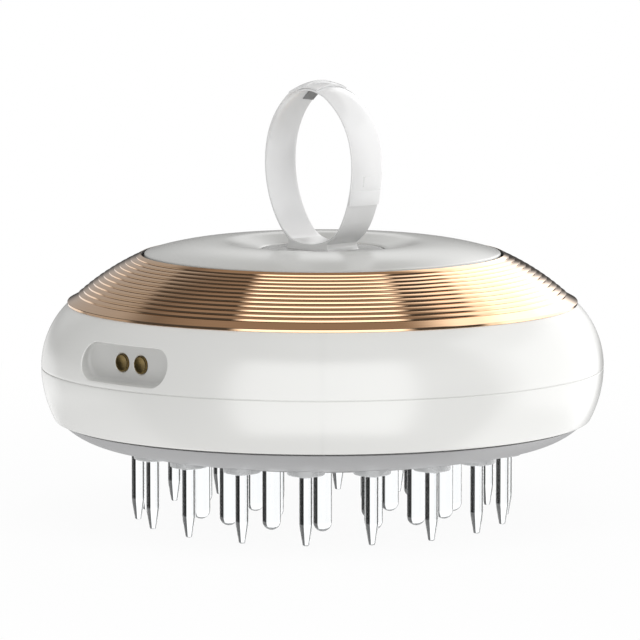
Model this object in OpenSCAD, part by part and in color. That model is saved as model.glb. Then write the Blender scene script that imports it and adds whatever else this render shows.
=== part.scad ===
// Electric scalp massager brush: a round, two-shell body with a ribbed trim ring, a strap that
// rings one finger, and clear teeth on a domed base. The tooth tips stand on z = 0.
// The charging pocket faces -Y and the power button faces +Y.

/* [Body] */
// Largest diameter of the body
body_d = 96; // [92:1:104]
// Radius of the upper shell's rounded edge
nose_r = 14.5; // [13.8:0.1:15.5]
// Radius of the lower shell's rounded edge
lower_nose_r = 19.2; // [17:0.1:21]
// Visible height of the upper shell, from the parting line to the trim ring
upper_h = 10.6; // [9.8:0.1:11.2]
// Height of the lower shell, from the base joint to the parting line
lower_h = 9.1; // [8.4:0.1:9.8]
// Wall of the shells
wall = 2; // [1.6:0.1:2.4]
// Depth of the shadow line at the parting plane
shadow_depth = 0.3; // [0.2:0.05:0.6]
// Height of the shadow line at the parting plane
shadow_h = 0.2; // [0.1:0.05:0.4]

/* [Trim ring and cap] */
// Height of the trim ring
trim_h = 8.5; // [7.5:0.1:9.5]
// Width of the trim ring, seen from above
trim_w = 12.6; // [10:0.1:15]
// Vertical thickness of the trim ring
trim_t = 1.6; // [1.2:0.1:2]
// How far the trim ring bulges beyond a straight cone
trim_bulge = 0.7; // [0.4:0.01:1]
// Distance between ribs, along the slope
rib_pitch = 1.06; // [0.9:0.01:1.1]
// Distance from the trim ring's top edge to its first rib
rib_first = 0.95; // [0.6:0.05:1.4]
// Least distance from the last rib to the trim ring's foot, along the slope
rib_last = 2.4; // [1:0.1:4]
// Height of each rib's upright face
rib_h = 0.3; // [0.15:0.05:0.35]
// Height of the upright rim at the foot of the trim ring
trim_rim_h = 0.45; // [0.3:0.05:0.7]
// Gap between the cap's edge and the trim ring
cap_gap = 0.5; // [0.3:0.05:0.8]
// Height of the cap's crown above the trim ring's top edge
crown_h = 2.05; // [1.6:0.05:2.6]
// Share of the way from the well's edge to the cap's edge at which the crown lies
crown_share = 0.35; // [0.25:0.05:0.5]
// Roundness of the crown on its inner side, as a share of the fullest round that still meets the well
crown_round = 0.55; // [0.2:0.05:0.9]
// Depth of the dish, from the crown to the edge of the finger ring's well
dish_depth = 1.35; // [0.9:0.05:1.7]
// Thickness of the cap at its crown
cap_t = 2.75; // [2.4:0.05:3]
// Width of the ledge that carries the cap
ledge_w = 3.9; // [3:0.1:5]
// Number of snap hooks under the cap
hook_count = 6; // [3:1:8]

/* [Finger ring] */
// Outside height of the finger ring
ring_h = 28.9; // [27:0.1:31]
// Outside width of the finger ring
ring_w = 20.8; // [18:0.2:23]
// Radius of the finger ring's bend at the top
ring_top_r = 7.4; // [6.8:0.1:8.4]
// Radius of the finger ring's bend at the foot
ring_foot_r = 8.6; // [8:0.1:9]
// Width of the strap
strap_w = 7.2; // [6:0.1:9]
// Thickness of one arm of the strap
strap_t = 0.35; // [0.3:0.05:0.6]
// Gap between the two arms where they overlap
lap_gap = 0.06; // [0.05:0.01:0.12]
// Direction in which the outer arm ends, from +X towards +Z
outer_arm_end = 79; // [75:1:85]
// Direction in which the inner arm ends, from +X towards +Z
inner_arm_end = 101; // [95:1:105]
// Length of the saddle that joins the strap to its foot
saddle_l = 8.8; // [7:0.1:10]
// Radius of the hollow fillet between the saddle and the foot
saddle_fillet = 1.2; // [0.8:0.1:1.6]
// Diameter of the round foot
foot_d = 20.7; // [19:0.1:22]
// Thickness of the round foot
foot_t = 1; // [0.8:0.1:1.3]
// Diameter of the stud on which the finger ring turns
stud_d = 6; // [5:0.1:7]
// Diameter of the washer under the stud
washer_d = 12; // [10:0.5:14]
// Thickness of the washer under the stud
washer_t = 1; // [0.8:0.1:1.4]

/* [Base and teeth] */
// Radius of the domed base
dome_r = 185; // [150:1:240]
// Thickness of the domed base
dome_t = 2.2; // [1.8:0.1:2.6]
// Depth of the dome, from the base joint to its lowest point
dome_depth = 7.7; // [7:0.1:8.4]
// Radius of the bend from the dome up into its rim
dome_bend_r = 12; // [10:0.5:14]
// Height of the shadow groove between the lower shell and the base
base_groove = 0.4; // [0.3:0.05:0.6]
// How far the base's rim stands back from the lower shell's edge
base_inset = 1.1; // [0.8:0.1:1.6]
// Number of tapered teeth in the outer ring
outer_count = 18; // [12:1:18]
// Distance from the base's edge to the outer ring of teeth
tooth_margin = 13; // [12:0.1:14.5]
// Length of a tapered tooth below its flange
outer_len = 11.6; // [9:0.1:14]
// Diameter of a tapered tooth
outer_d = 2.3; // [1.8:0.1:2.6]
// Length of the tapered end
taper_len = 3.5; // [2:0.1:5]
// Diameter of the tapered end's tip
tip_d = 1.15; // [0.9:0.05:1.4]
// Rounding of the tapered end's tip
tip_round = 0.3; // [0.15:0.05:0.4]
// Diameter of a tapered tooth's flange
flange_d = 6.3; // [5.4:0.1:6.8]
// Thickness of a tapered tooth's flange
flange_t = 0.8; // [0.6:0.05:1]
// Diameter of a round-ended tooth
round_d = 3.1; // [2.6:0.1:3.4]
// Height of the round-ended tips above the tapered tips
round_tip_z = 1; // [0.4:0.1:2]
// Number of teeth in the middle ring
middle_count = 16; // [10:1:16]
// Distance from the outer ring of teeth to the middle ring
middle_step = 9.3; // [8.5:0.1:10]
// Number of teeth in the inner ring
inner_count = 8; // [5:1:8]
// Distance from the middle ring of teeth to the inner ring
inner_step = 10.8; // [10:0.1:11.5]
// Diameter of every tooth's root in the base
root_d = 2.4; // [2:0.1:2.6]

/* [Charging pocket and button] */
// Height of the pocket and the button above the parting line
pocket_rise = 4; // [3.6:0.1:4.6]
// Length of the charging pocket
pocket_l = 20.4; // [17:0.2:22]
// Height of the charging pocket
pocket_h = 6.3; // [5:0.1:6.6]
// Depth of the charging pocket at its middle
pocket_depth = 2.84; // [2.4:0.02:3.2]
// Thickness of the pocket's floor
pocket_floor = 2; // [1.6:0.1:2.2]
// Diameter of a charging contact's face
contact_d = 3; // [2:0.1:3.4]
// Distance between the charging contacts
contact_pitch = 4.45; // [4:0.05:5]
// How far the contacts stand proud of the pocket's floor
contact_proud = 0.15; // [0.05:0.05:0.3]
// Diameter of a charging magnet
magnet_d = 4; // [3:0.1:4.4]
// Length of the button
button_l = 14.6; // [12:0.2:16]
// Height of the button
button_h = 5; // [4:0.1:5.4]
// Thickness of the wall that guides the button
button_wall = 4.2; // [4:0.1:4.6]
// How far the button stands proud of the shell
button_proud = 0.1; // [0.05:0.05:0.2]
// Travel of the button
button_travel = 0.4; // [0.2:0.05:0.5]

/* [Works inside] */
// Thickness of the main board
board_t = 1.2; // [0.8:0.1:1.6]
// Height and width of the push switch
switch_h = 6; // [5:0.1:6.4]
// Depth of the push switch
switch_depth = 3.6; // [3:0.1:4.4]
// Diameter of the switch's plunger
plunger_d = 3.2; // [2.4:0.1:3.6]
// Length of the battery
battery_l = 36; // [28:1:38]
// Width of the battery
battery_w = 24; // [18:1:25]
// Thickness of the battery
battery_t = 7.5; // [5:0.5:9]
// Thickness of the foam pad under the battery
pad_t = 1; // [0.6:0.1:1.4]
// Diameter of the vibration motor
motor_d = 10; // [8:0.2:10.4]
// Length of the vibration motor
motor_l = 20; // [18:0.5:21]
// Diameter of the motor's shaft
shaft_d = 2; // [1.5:0.1:2.4]
// Radius of the eccentric weight
weight_r = 4.2; // [3.4:0.1:4.6]
// Length of the eccentric weight
weight_l = 5; // [3:0.1:6]
// Thickness of the motor clamp
clamp_t = 1; // [0.8:0.1:1.2]
// Width of the motor clamp
clamp_w = 8; // [6:0.1:9]
// Thickness of the light board
led_board_t = 1; // [0.8:0.1:1.2]
// Height of a light-emitting diode
led_h = 0.8; // [0.6:0.05:1]
// Diameter of the insulated leads
lead_d = 1.1; // [0.8:0.1:1.3]

/* [Fasteners and fits] */
// Diameter of the housing screws' shanks
housing_screw_d = 2; // [1.6:0.1:2.4]
// Diameter of the base screws' shanks
base_screw_d = 1.8; // [1.5:0.1:2]
// Diameter of the board and clamp screws' shanks
board_screw_d = 1.6; // [1.4:0.1:1.8]
// Diameter of the screw bosses that join the shells
post_d = 6.4; // [5.8:0.1:7]
// Radial clearance of a running fit
running_clearance = 0.05; // [0.02:0.01:0.1]
// Clearance round a piece that slides or drops in
loose_clearance = 0.3; // [0.2:0.05:0.4]
// Clearance between glued or welded pieces
seat_clearance = 0.1; // [0.05:0.01:0.15]

/* [Hidden] */
$fn = 96;
dome_fn = 360;
eps = 0.01;

// Radii of the body
body_r = body_d / 2;
nose_c = body_r - nose_r;
lower_nose_c = body_r - lower_nose_r;

// Rings of teeth
base_edge_r = lower_nose_c + sqrt(pow(lower_nose_r, 2) - pow(lower_h, 2)) - base_inset;
outer_ring_r = base_edge_r - tooth_margin;
middle_ring_r = outer_ring_r - middle_step;
inner_ring_r = middle_ring_r - inner_step;

// Heights, stacked from the tooth tips up
tooth_seat_z = outer_len + flange_t;
dome_z = tooth_seat_z - seat_clearance - (dome_r - sqrt(pow(dome_r, 2) - pow(outer_ring_r, 2)));
dome_centre_z = dome_z + dome_r;
base_joint_z = dome_z + dome_depth;
equator_z = base_joint_z + lower_h;
trim_z = equator_z + upper_h;
trim_top_z = trim_z + trim_h;
cap_seat_z = trim_top_z - trim_t - seat_clearance;
crown_z = trim_top_z + crown_h;
well_edge_z = crown_z - dish_depth;
pocket_z = equator_z + pocket_rise;

function nose_reach(h) = nose_c + sqrt(pow(nose_r, 2) - h * h);
function dome_height(r) = dome_centre_z - sqrt(pow(dome_r, 2) - r * r);
function dome_inside(r) = dome_centre_z - sqrt(pow(dome_r - dome_t, 2) - r * r);

// Trim ring, deck and cap
trim_proud = 0.1;
trim_foot_r = nose_reach(upper_h) + trim_proud;
trim_top_r = trim_foot_r - trim_w;
cap_r = trim_top_r - cap_gap;
trim_slope = trim_h / (trim_foot_r - trim_top_r);
trim_chord = norm([trim_foot_r - trim_top_r, trim_h]);
trim_normal = [trim_h, trim_foot_r - trim_top_r] / trim_chord;
rib_count = floor((trim_chord - rib_first - rib_last) / rib_pitch) + 1;
trim_inner_foot_r = trim_top_r + (trim_h - trim_t) / trim_slope;
deck_foot_r = trim_inner_foot_r - seat_clearance / trim_slope;
ledge_t = wall;
opening_r = trim_top_r - ledge_w;
spigot_r = opening_r - seat_clearance;
spigot_t = 1.4;
hook_reach = 0.7;
hook_h = 0.9;
hook_t = 1.1;
hook_angle = 14;
cap_edge_z = trim_top_z + seat_clearance;

// Finger ring
foot_r = foot_d / 2;
well_r = foot_r + loose_clearance;
foot_sink = foot_t;
well_floor_z = well_edge_z - foot_sink;
foot_z = well_floor_z + running_clearance;
foot_top_z = foot_z + foot_t;
hub_r = well_r + wall;
hub_t = 1.7;
hub_z = well_floor_z - hub_t;
stud_r = stud_d / 2;
stud_end_z = hub_z - running_clearance;
ring_sink = 0.15;
ring_z = foot_top_z - ring_sink + ring_h / 2;
inner_arm_h = ring_h - 2 * (strap_t + lap_gap);
ring_lap = 2;
saddle_top = 1.8;
ring_screw_d = 2;

// Base plate
base_rim_z = base_joint_z - base_groove;
base_edge_line = [base_edge_r, base_rim_z - dome_centre_z];
base_edge_far = norm(base_edge_line);
base_edge_way = base_edge_line / base_edge_far;
bend_reach = dome_r - dome_bend_r;
bend_along = (pow(bend_reach, 2) - pow(dome_bend_r, 2) + pow(base_edge_far, 2)) / (2 * base_edge_far);
bend_aside = sqrt(pow(bend_reach, 2) - pow(bend_along, 2));
bend_c = [0, dome_centre_z] + bend_along * base_edge_way
    + bend_aside * [base_edge_way[1], -base_edge_way[0]];
base_step = 1.2;
base_land_w = 4.6;
base_spigot_r = base_edge_r - base_step;
base_in_r = base_spigot_r - base_land_w;
base_seal_w = 1.6;
base_seal_t = 0.8;
base_seal_r = (base_spigot_r + base_in_r) / 2;
shell_flange_t = wall;
base_screw_r = base_in_r - base_screw_d;
boss_wall = 1.3;
base_boss_d = base_screw_d + 2 * boss_wall;
shell_flange_r = base_screw_r - base_boss_d / 2;

// Parting rim and its seal
rim_w = 2.2;
rim_in_r = body_r - wall - rim_w;
rim_h = 2.5;
parting_seal_w = 0.8;
parting_seal_t = 0.8;
parting_seal_r = rim_in_r + rim_w / 2;

// Posts that join the shells
post_bite = 0.2;
post_ring_r = nose_c + post_d / 2 - post_bite;
post_count = 4;
post_turn = 45;
housing_seat_t = 5;
housing_head_z = equator_z + housing_seat_t;
housing_shank_l = 10.4;
base_shank_l = 4.4;

// Screw heads and their cross slots, as shares of the shank's diameter
head_h = 1.4;
head_share = 1.9;
drive_l_share = 1.2;
drive_w_share = 0.28;
drive_depth = 0.6;
head_gap = 0.5;

// Tooth roots and lights
root_r = root_d / 2;
root_rise = 0.4;
outer_root_z = dome_inside(outer_ring_r) + root_rise;
led_gap = 0.2;
led_z = outer_root_z + led_gap;
led_board_z = led_z + led_h;
led_board_w = 5.4;
led_post_count = 6;
led_size = [3.5, 2.8];

// Main board, switch and battery
board_top_z = pocket_z - switch_h / 2;
board_z = board_top_z - board_t;
board_r = post_ring_r - post_d / 2 - loose_clearance;
board_post_d = 4.4;
board_post_r = outer_ring_r - led_board_w / 2 - board_post_d / 2 - 2 * loose_clearance;
board_post_turn = 33.75;
board_shank_l = 6;
button_face_y = nose_reach(pocket_rise);
button_pad_y = button_face_y - button_wall;
button_seal_t = 0.5;
button_flange_t = 0.8;
button_flange_w = 1.4;
button_flange_y = button_pad_y - button_seal_t - running_clearance;
button_stem_l = 0.45;
button_stem_y = button_flange_y - button_flange_t - button_stem_l;
plunger_y = button_stem_y - running_clearance;
plunger_out = 1.2;
plunger_in = 1.7;
switch_y = plunger_y - plunger_out;
tongue_lead = 0.8;
tongue_side = 4;
tongue_y = switch_y + tongue_lead;
tongue_w = switch_h + 2 * tongue_side;
battery_round = 2;
coil_w = 5;
coil_t = 2.6;
controller_w = 6;
controller_t = 1.2;
charger_w = 4;
charger_t = 1;
socket_w = 4.6;
socket_t = 2.2;
component_pitch = 8;
component_gap = 2;
battery_z = board_top_z + pad_t;

// Charging pocket
pocket_floor_y = button_face_y - pocket_depth;
pocket_back_y = pocket_floor_y - pocket_floor;
contact_head_t = 0.8;
contact_shank_d = 1.6;
charge_board_t = 1;
charge_board_l = 18;
charge_board_h = 4.6;
contact_tail = 0.5;
magnet_x = 6.5;
magnet_skin = 0.6;

// Motor
motor_r = motor_d / 2;
motor_gap = 0.7;
motor_z = board_z - motor_gap - clamp_t - motor_r;
motor_x = -3;
motor_front_x = motor_x + motor_l / 2;
motor_back_x = motor_x - motor_l / 2;
motor_nose_l = 1;
motor_nose_r = 2.2;
weight_gap = 1;
weight_x = motor_front_x + motor_nose_l + weight_gap;
shaft_tail = 2;
shaft_end = 1;
weight_hub_t = 0.8;
clamp_drop = 1.5;
clamp_foot_z = motor_z - clamp_drop;
clamp_foot_t = 1.2;
clamp_ear = 5.5;
clamp_screw_y = motor_r + clamp_t + clamp_ear / 2;
clamp_boss_d = 4.6;
clamp_shank_l = 4;
saddle_rib_t = 1.6;
saddle_rib_gap = 1.2;

// Leads, as points chosen along each route
lead_r = lead_d / 2;
lead_sides = 8;
battery_lead_y = 3;
battery_lead_z = battery_z + battery_t / 2;
battery_lead = [
    [-battery_l / 2, 0, battery_lead_z],
    [-battery_l / 2 - 2, 0, battery_lead_z],
    [-battery_l / 2 - 4, 0, battery_lead_z - 0.7],
    [-battery_l / 2 - 5, 0, battery_lead_z - 2.5],
    [-battery_l / 2 - 5, 0, board_top_z]
];
motor_lead_y = 2.4;
motor_lead = [
    [motor_back_x, 0, motor_z],
    [motor_back_x - 1.5, 0, motor_z],
    [motor_back_x - 3, 0, motor_z + 0.6],
    [motor_back_x - 3.6, 0, motor_z + 2],
    [motor_back_x - 3.6, 0, board_z]
];
charge_lead_x = 5;
charge_board_y = -pocket_back_y + charge_board_t;
charge_lead = [
    [0, charge_board_y, pocket_z],
    [0, charge_board_y + 4, pocket_z],
    [0, charge_board_y + 6, pocket_z - 0.5],
    [0, charge_board_y + 7, pocket_z - 1.7],
    [0, charge_board_y + 7, board_top_z]
];
led_lead_y = 1.4;
led_lead_x = -outer_ring_r + 1;
led_lead = [
    [led_lead_x, 0, led_board_z + led_board_t],
    [led_lead_x, 0, led_board_z + led_board_t + 3],
    [led_lead_x + 1.4, 0, board_z - 3],
    [led_lead_x + 1.4, 0, board_z]
];

function tooth_name(i) = str("outer_tooth_", i < 10 ? "0" : "", i);

// Helpers shared by the pieces

// Copies of a piece on a circle, the first one towards the charging pocket
module around(count, r, turn = 0) {
    for (i = [0:count - 1]) {
        rotate([0, 0, turn - 90 + i * 360 / count]) translate([r, 0, 0]) children();
    }
}

// A band of the half section between two heights
module band(low, high, reach) {
    translate([0, low]) square([reach, high - low]);
}

// The rounded edge of the upper body, drawn in by an inset
module nose(inset) {
    translate([nose_c, equator_z]) circle(nose_r - inset);
    translate([0, equator_z - nose_r + inset]) square([nose_c, 2 * (nose_r - inset)]);
}

// The rounded edge of the lower body, drawn in by an inset
module lower_nose(inset) {
    translate([lower_nose_c, equator_z]) circle(lower_nose_r - inset);
    translate([0, equator_z - lower_nose_r + inset]) square([lower_nose_c, 2 * (lower_nose_r - inset)]);
}

// A slot with round ends, length along X
module slot(l, h) {
    for (side = [-1, 1]) {
        translate([side * (l - h) / 2, 0]) circle(h / 2);
    }
    square([l - h, h], center = true);
}

// A slot-shaped prism that faces -Y, between two distances from the axis
module slot_prism(l, h, near, far) {
    translate([0, -near, pocket_z]) rotate([90, 0, 0]) linear_extrude(far - near) slot(l, h);
}

// A screw with its head's seat at z = 0
module screw(d, shank_l) {
    difference() {
        union() {
            cylinder(d = d * head_share, h = head_h);
            translate([0, 0, -shank_l]) cylinder(d = d, h = shank_l + eps);
        }
        for (turn = [0, 90]) {
            rotate([0, 0, turn]) translate([0, 0, head_h])
                cube([d * drive_l_share, d * drive_w_share, 2 * drive_depth], center = true);
        }
    }
}

// A tube swept along points that lie in a plane with the given normal
module lead(points, normal) {
    last = len(points) - 1;
    rings = [for (i = [0:last]) let (
        along = points[min(i + 1, last)] - points[max(i - 1, 0)],
        side = cross(along / norm(along), normal)
    ) for (k = [0:lead_sides - 1]) let (a = k * 360 / lead_sides)
        points[i] + lead_r * (cos(a) * normal + sin(a) * side)];
    walls = [for (i = [0:last - 1], k = [0:lead_sides - 1]) let (
        a = i * lead_sides + k,
        b = i * lead_sides + (k + 1) % lead_sides
    ) each [[a, a + lead_sides, b], [b, a + lead_sides, b + lead_sides]]];
    start = [for (k = [0:lead_sides - 1]) k];
    end = [for (k = [lead_sides - 1:-1:0]) last * lead_sides + k];
    polyhedron(rings, concat(walls, [start, end]));
}

// Body shells

// The upper shell's outside: rounded edge, then the deck under the trim ring
module upper_outline() {
    intersection() {
        nose(0);
        band(equator_z, trim_z, body_r);
    }
    polygon([[0, trim_z], [deck_foot_r, trim_z], [trim_top_r, cap_seat_z], [0, cap_seat_z]]);
}

module upper_section() {
    deck_drop = wall * norm([1, trim_slope]);
    difference() {
        upper_outline();
        intersection() {
            union() {
                nose(wall);
                band(equator_z, cap_seat_z, nose_c);
            }
            polygon([
                [0, equator_z - wall],
                [body_d, equator_z - wall],
                [body_d, cap_seat_z - deck_drop - (body_d - trim_top_r) * trim_slope],
                [trim_top_r, cap_seat_z - deck_drop],
                [0, cap_seat_z - deck_drop + trim_top_r * trim_slope]
            ]);
            band(equator_z - wall, cap_seat_z - ledge_t, body_r);
        }
        band(cap_seat_z - 2 * ledge_t, cap_seat_z + ledge_t, opening_r);
    }
    translate([rim_in_r, equator_z]) square([body_r - wall / 2 - rim_in_r, rim_h]);
}

module upper_shell() {
    color([0.93, 0.93, 0.92]) difference() {
        union() {
            rotate_extrude() upper_section();
            intersection() {
                rotate_extrude() upper_outline();
                union() {
                    around(post_count, post_ring_r, post_turn)
                        translate([0, 0, equator_z]) cylinder(d = post_d, h = cap_seat_z - equator_z);
                    slot_prism(pocket_l + 2 * wall, pocket_h + 2 * wall, pocket_back_y, body_r);
                    rotate([0, 0, 180])
                        slot_prism(button_l + 4 * wall, button_h + 2 * wall, button_pad_y, body_r);
                }
            }
        }
        around(post_count, post_ring_r, post_turn) {
            translate([0, 0, housing_head_z])
                cylinder(d = housing_screw_d * head_share + 2 * head_gap, h = trim_top_z);
            cylinder(d = housing_screw_d + loose_clearance, h = trim_top_z);
        }
        slot_prism(pocket_l, pocket_h, pocket_floor_y, body_d);
        charge_seats();
        rotate([0, 0, 180]) {
            slot_prism(button_l + 2 * loose_clearance, button_h + 2 * loose_clearance, body_r / 2, body_d);
            slot_prism(button_l + 2 * button_flange_w + 2 * loose_clearance,
                button_h + 2 * button_flange_w + 2 * loose_clearance, body_r / 2, button_pad_y);
        }
    }
}

// Holes in the pocket's floor for the contacts and the magnets
module charge_seats() {
    for (side = [-1, 1]) {
        translate([side * contact_pitch / 2, 0, pocket_z]) rotate([90, 0, 0]) {
            cylinder(d = contact_shank_d + 2 * running_clearance, h = body_r);
            translate([0, 0, pocket_floor_y - contact_head_t])
                cylinder(d = contact_d + 2 * running_clearance, h = body_r);
        }
        translate([side * magnet_x, -pocket_floor_y + magnet_skin, pocket_z]) rotate([-90, 0, 0])
            cylinder(d = magnet_d + 2 * running_clearance, h = pocket_floor);
    }
}

module lower_section() {
    difference() {
        intersection() {
            lower_nose(0);
            band(base_joint_z, equator_z, body_r);
        }
        intersection() {
            lower_nose(wall);
            band(base_joint_z + shell_flange_t, equator_z + wall, body_r);
        }
        band(base_joint_z - wall, base_joint_z + 2 * shell_flange_t, shell_flange_r);
        translate([body_r - shadow_depth, equator_z - shadow_h]) square([body_r, 2 * shadow_h]);
    }
    difference() {
        translate([rim_in_r, equator_z - rim_h]) square([body_r - wall / 2 - rim_in_r, rim_h]);
        translate([parting_seal_r - parting_seal_w / 2 - seat_clearance, equator_z - parting_seal_t])
            square([parting_seal_w + 2 * seat_clearance, rim_h]);
    }
}

module lower_shell() {
    color([0.93, 0.93, 0.92]) difference() {
        union() {
            rotate_extrude() lower_section();
            around(post_count, post_ring_r, post_turn) translate([0, 0, base_joint_z + shell_flange_t / 2])
                cylinder(d = post_d, h = equator_z - base_joint_z - shell_flange_t / 2);
        }
        around(post_count, post_ring_r, post_turn)
            translate([0, 0, housing_head_z - housing_shank_l - loose_clearance])
                cylinder(d = housing_screw_d + 2 * running_clearance, h = housing_shank_l);
        around(post_count, base_screw_r) translate([0, 0, base_joint_z - wall])
            cylinder(d = base_screw_d + loose_clearance, h = 3 * shell_flange_t);
    }
}

module parting_seal() {
    color([0.75, 0.75, 0.74]) rotate_extrude()
        translate([parting_seal_r - parting_seal_w / 2, equator_z - parting_seal_t])
            square([parting_seal_w, parting_seal_t]);
}

module base_seal() {
    color([0.75, 0.75, 0.74]) rotate_extrude()
        translate([base_seal_r - base_seal_w / 2, base_joint_z - base_seal_t])
            square([base_seal_w, base_seal_t]);
}

module housing_screws() {
    color("silver") around(post_count, post_ring_r, post_turn)
        translate([0, 0, housing_head_z]) screw(housing_screw_d, housing_shank_l);
}

module base_screws() {
    color("silver") around(post_count, base_screw_r)
        translate([0, 0, base_joint_z + shell_flange_t]) screw(base_screw_d, base_shank_l);
}

// Trim ring and cap

// A point on the trim ring's bulged face, at a distance down the slope from its top edge
function trim_point(s) = let (t = s / trim_chord)
    [trim_top_r, trim_top_z] + t * [trim_foot_r - trim_top_r, -trim_h]
        + 4 * trim_bulge * t * (1 - t) * trim_normal;

module trim_ring() {
    steps = [for (i = [0:rib_count - 1]) let (crest = trim_point(rib_first + i * rib_pitch))
        each [crest, crest - [0, rib_h]]];
    color([0.72, 0.55, 0.42]) rotate_extrude() polygon(concat(
        [[trim_top_r, trim_top_z - trim_t], [trim_top_r, trim_top_z]],
        steps,
        [[trim_foot_r, trim_z + trim_rim_h], [trim_foot_r, trim_z], [trim_inner_foot_r, trim_z]]));
}

// The cap's outside: a wide shoulder up to the crown, then a tighter round into the dish around the well
module cap_outline() {
    crown_r = well_r + (cap_r - well_r) * crown_share;
    shoulder_drop = crown_z - cap_edge_z;
    shoulder_r = (pow(cap_r - crown_r, 2) + pow(shoulder_drop, 2)) / (2 * shoulder_drop);
    round_r = crown_round * (pow(crown_r - well_r, 2) + pow(dish_depth, 2)) / (2 * dish_depth);
    round_c = [crown_r, crown_z - round_r];
    well_way = [well_r, well_edge_z] - round_c;
    dish_turn = atan2(well_way[1], well_way[0]) - acos(round_r / norm(well_way)) - 90;
    crown_steps = 4;
    crown_bend = [for (i = [0 : crown_steps]) round_c
        + round_r * [-sin(dish_turn * i / crown_steps), cos(dish_turn * i / crown_steps)]];
    intersection() {
        translate([crown_r, crown_z - shoulder_r]) circle(shoulder_r, $fn = dome_fn);
        translate([crown_r, hub_z]) square([cap_r - crown_r, crown_z]);
    }
    polygon(concat(
        [[0, hub_z], [crown_r + wall, hub_z], [crown_r + wall, crown_z - wall]],
        crown_bend,
        [[well_r, well_edge_z], [0, well_edge_z]]));
}

module cap_section() {
    difference() {
        cap_outline();
        translate([hub_r, 0]) square([spigot_r - spigot_t - hub_r, crown_z - cap_t]);
        translate([spigot_r, 0]) square([cap_r, cap_seat_z]);
        band(well_floor_z, crown_z + wall, well_r);
        band(0, crown_z, stud_r + running_clearance);
    }
    translate([spigot_r - spigot_t, cap_seat_z - ledge_t / 2]) square([spigot_t, ledge_t]);
}

module top_cap() {
    hook_z = cap_seat_z - ledge_t - running_clearance;
    hook_out_r = spigot_r - seat_clearance;
    hook_in_r = hook_out_r - hook_t;
    color([0.86, 0.86, 0.84]) {
        rotate_extrude() cap_section();
        for (i = [0:hook_count - 1]) {
            rotate([0, 0, (i + 0.5) * 360 / hook_count - hook_angle / 2]) rotate_extrude(angle = hook_angle) {
                polygon([[hook_in_r, hook_z - hook_h], [hook_out_r, hook_z - hook_h],
                    [spigot_r + hook_reach, hook_z], [hook_out_r, hook_z],
                    [hook_out_r, hook_z + ledge_t], [hook_in_r, hook_z + ledge_t]]);
            }
        }
    }
}

// Finger ring

// Half of the strap's oval, above (side 1) or below (side -1) its middle, drawn in by an inset.
// Its side arcs run on past the middle by an overlap, inside the other half.
module half_oval(h, bend_r, side, inset, overlap) {
    end_c = h / 2 - bend_r;
    side_r = (pow(ring_w / 2, 2) + pow(end_c, 2) - pow(bend_r, 2)) / (ring_w - 2 * bend_r);
    side_c = side_r - ring_w / 2;
    split = (side_r - inset) * end_c / (side_r - bend_r);
    intersection() {
        translate([-side_c, 0]) circle(side_r - inset, $fn = dome_fn);
        translate([side_c, 0]) circle(side_r - inset, $fn = dome_fn);
        translate([0, side * (split - overlap) / 2]) square([ring_w, split + overlap], center = true);
    }
    translate([0, side * end_c]) circle(bend_r - inset);
}

// The strap's oval of tangent arcs, with a tighter bend at the top than at the foot
module oval(h, inset) {
    half_oval(h, ring_top_r, 1, inset, ring_lap);
    half_oval(h, ring_foot_r, -1, inset, 0);
}

// A wedge of directions, counted from +X, turned anticlockwise from one to the other
module wedge(from, to) {
    steps = ceil((to - from) / 45);
    polygon(concat([[0, 0]],
        [for (i = [0:steps]) let (a = from + (to - from) * i / steps) 2 * ring_h * [cos(a), sin(a)]]));
}

// The strap's outline: the outer arm from the left laps over the inner arm from the right
module strap_outline() {
    difference() {
        oval(ring_h, 0);
        oval(ring_h, strap_t);
        wedge(-90, outer_arm_end);
    }
    difference() {
        oval(inner_arm_h, 0);
        oval(inner_arm_h, strap_t);
        wedge(inner_arm_end, 270);
    }
    difference() {
        translate([0, -ring_h / 2]) saddle_outline();
        oval(inner_arm_h, strap_t / 2);
    }
}

// The saddle flares into the foot through a hollow fillet on each side
module saddle_outline() {
    difference() {
        translate([-saddle_l / 2 - saddle_fillet, 0]) square([saddle_l + 2 * saddle_fillet, saddle_top]);
        for (side = [-1, 1]) {
            translate([side * (saddle_l / 2 + saddle_fillet), saddle_fillet + ring_sink])
                circle(saddle_fillet);
            translate([side * (saddle_l / 2 + saddle_fillet) - saddle_fillet, saddle_fillet + ring_sink])
                square([2 * saddle_fillet, saddle_top]);
        }
    }
}

module finger_ring() {
    edge = foot_t / 4;
    color([0.95, 0.95, 0.95]) difference() {
        union() {
            rotate_extrude() polygon([
                [0, stud_end_z], [stud_r, stud_end_z], [stud_r, foot_z], [foot_r, foot_z],
                [foot_r, foot_top_z - edge], [foot_r - edge, foot_top_z], [0, foot_top_z]
            ]);
            translate([0, strap_w / 2, ring_z]) rotate([90, 0, 0]) linear_extrude(strap_w) strap_outline();
        }
        translate([0, 0, stud_end_z - eps])
            cylinder(d = ring_screw_d + 2 * running_clearance, h = foot_top_z - stud_end_z - foot_t / 2);
    }
}

module ring_washer() {
    color("silver") translate([0, 0, stud_end_z - washer_t]) difference() {
        cylinder(d = washer_d, h = washer_t);
        translate([0, 0, -washer_t]) cylinder(d = ring_screw_d + loose_clearance, h = 3 * washer_t);
    }
}

module ring_screw() {
    color("silver") translate([0, 0, stud_end_z - washer_t]) mirror([0, 0, 1])
        screw(ring_screw_d, washer_t + foot_top_z - stud_end_z - foot_t);
}

// Base plate and teeth

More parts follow.
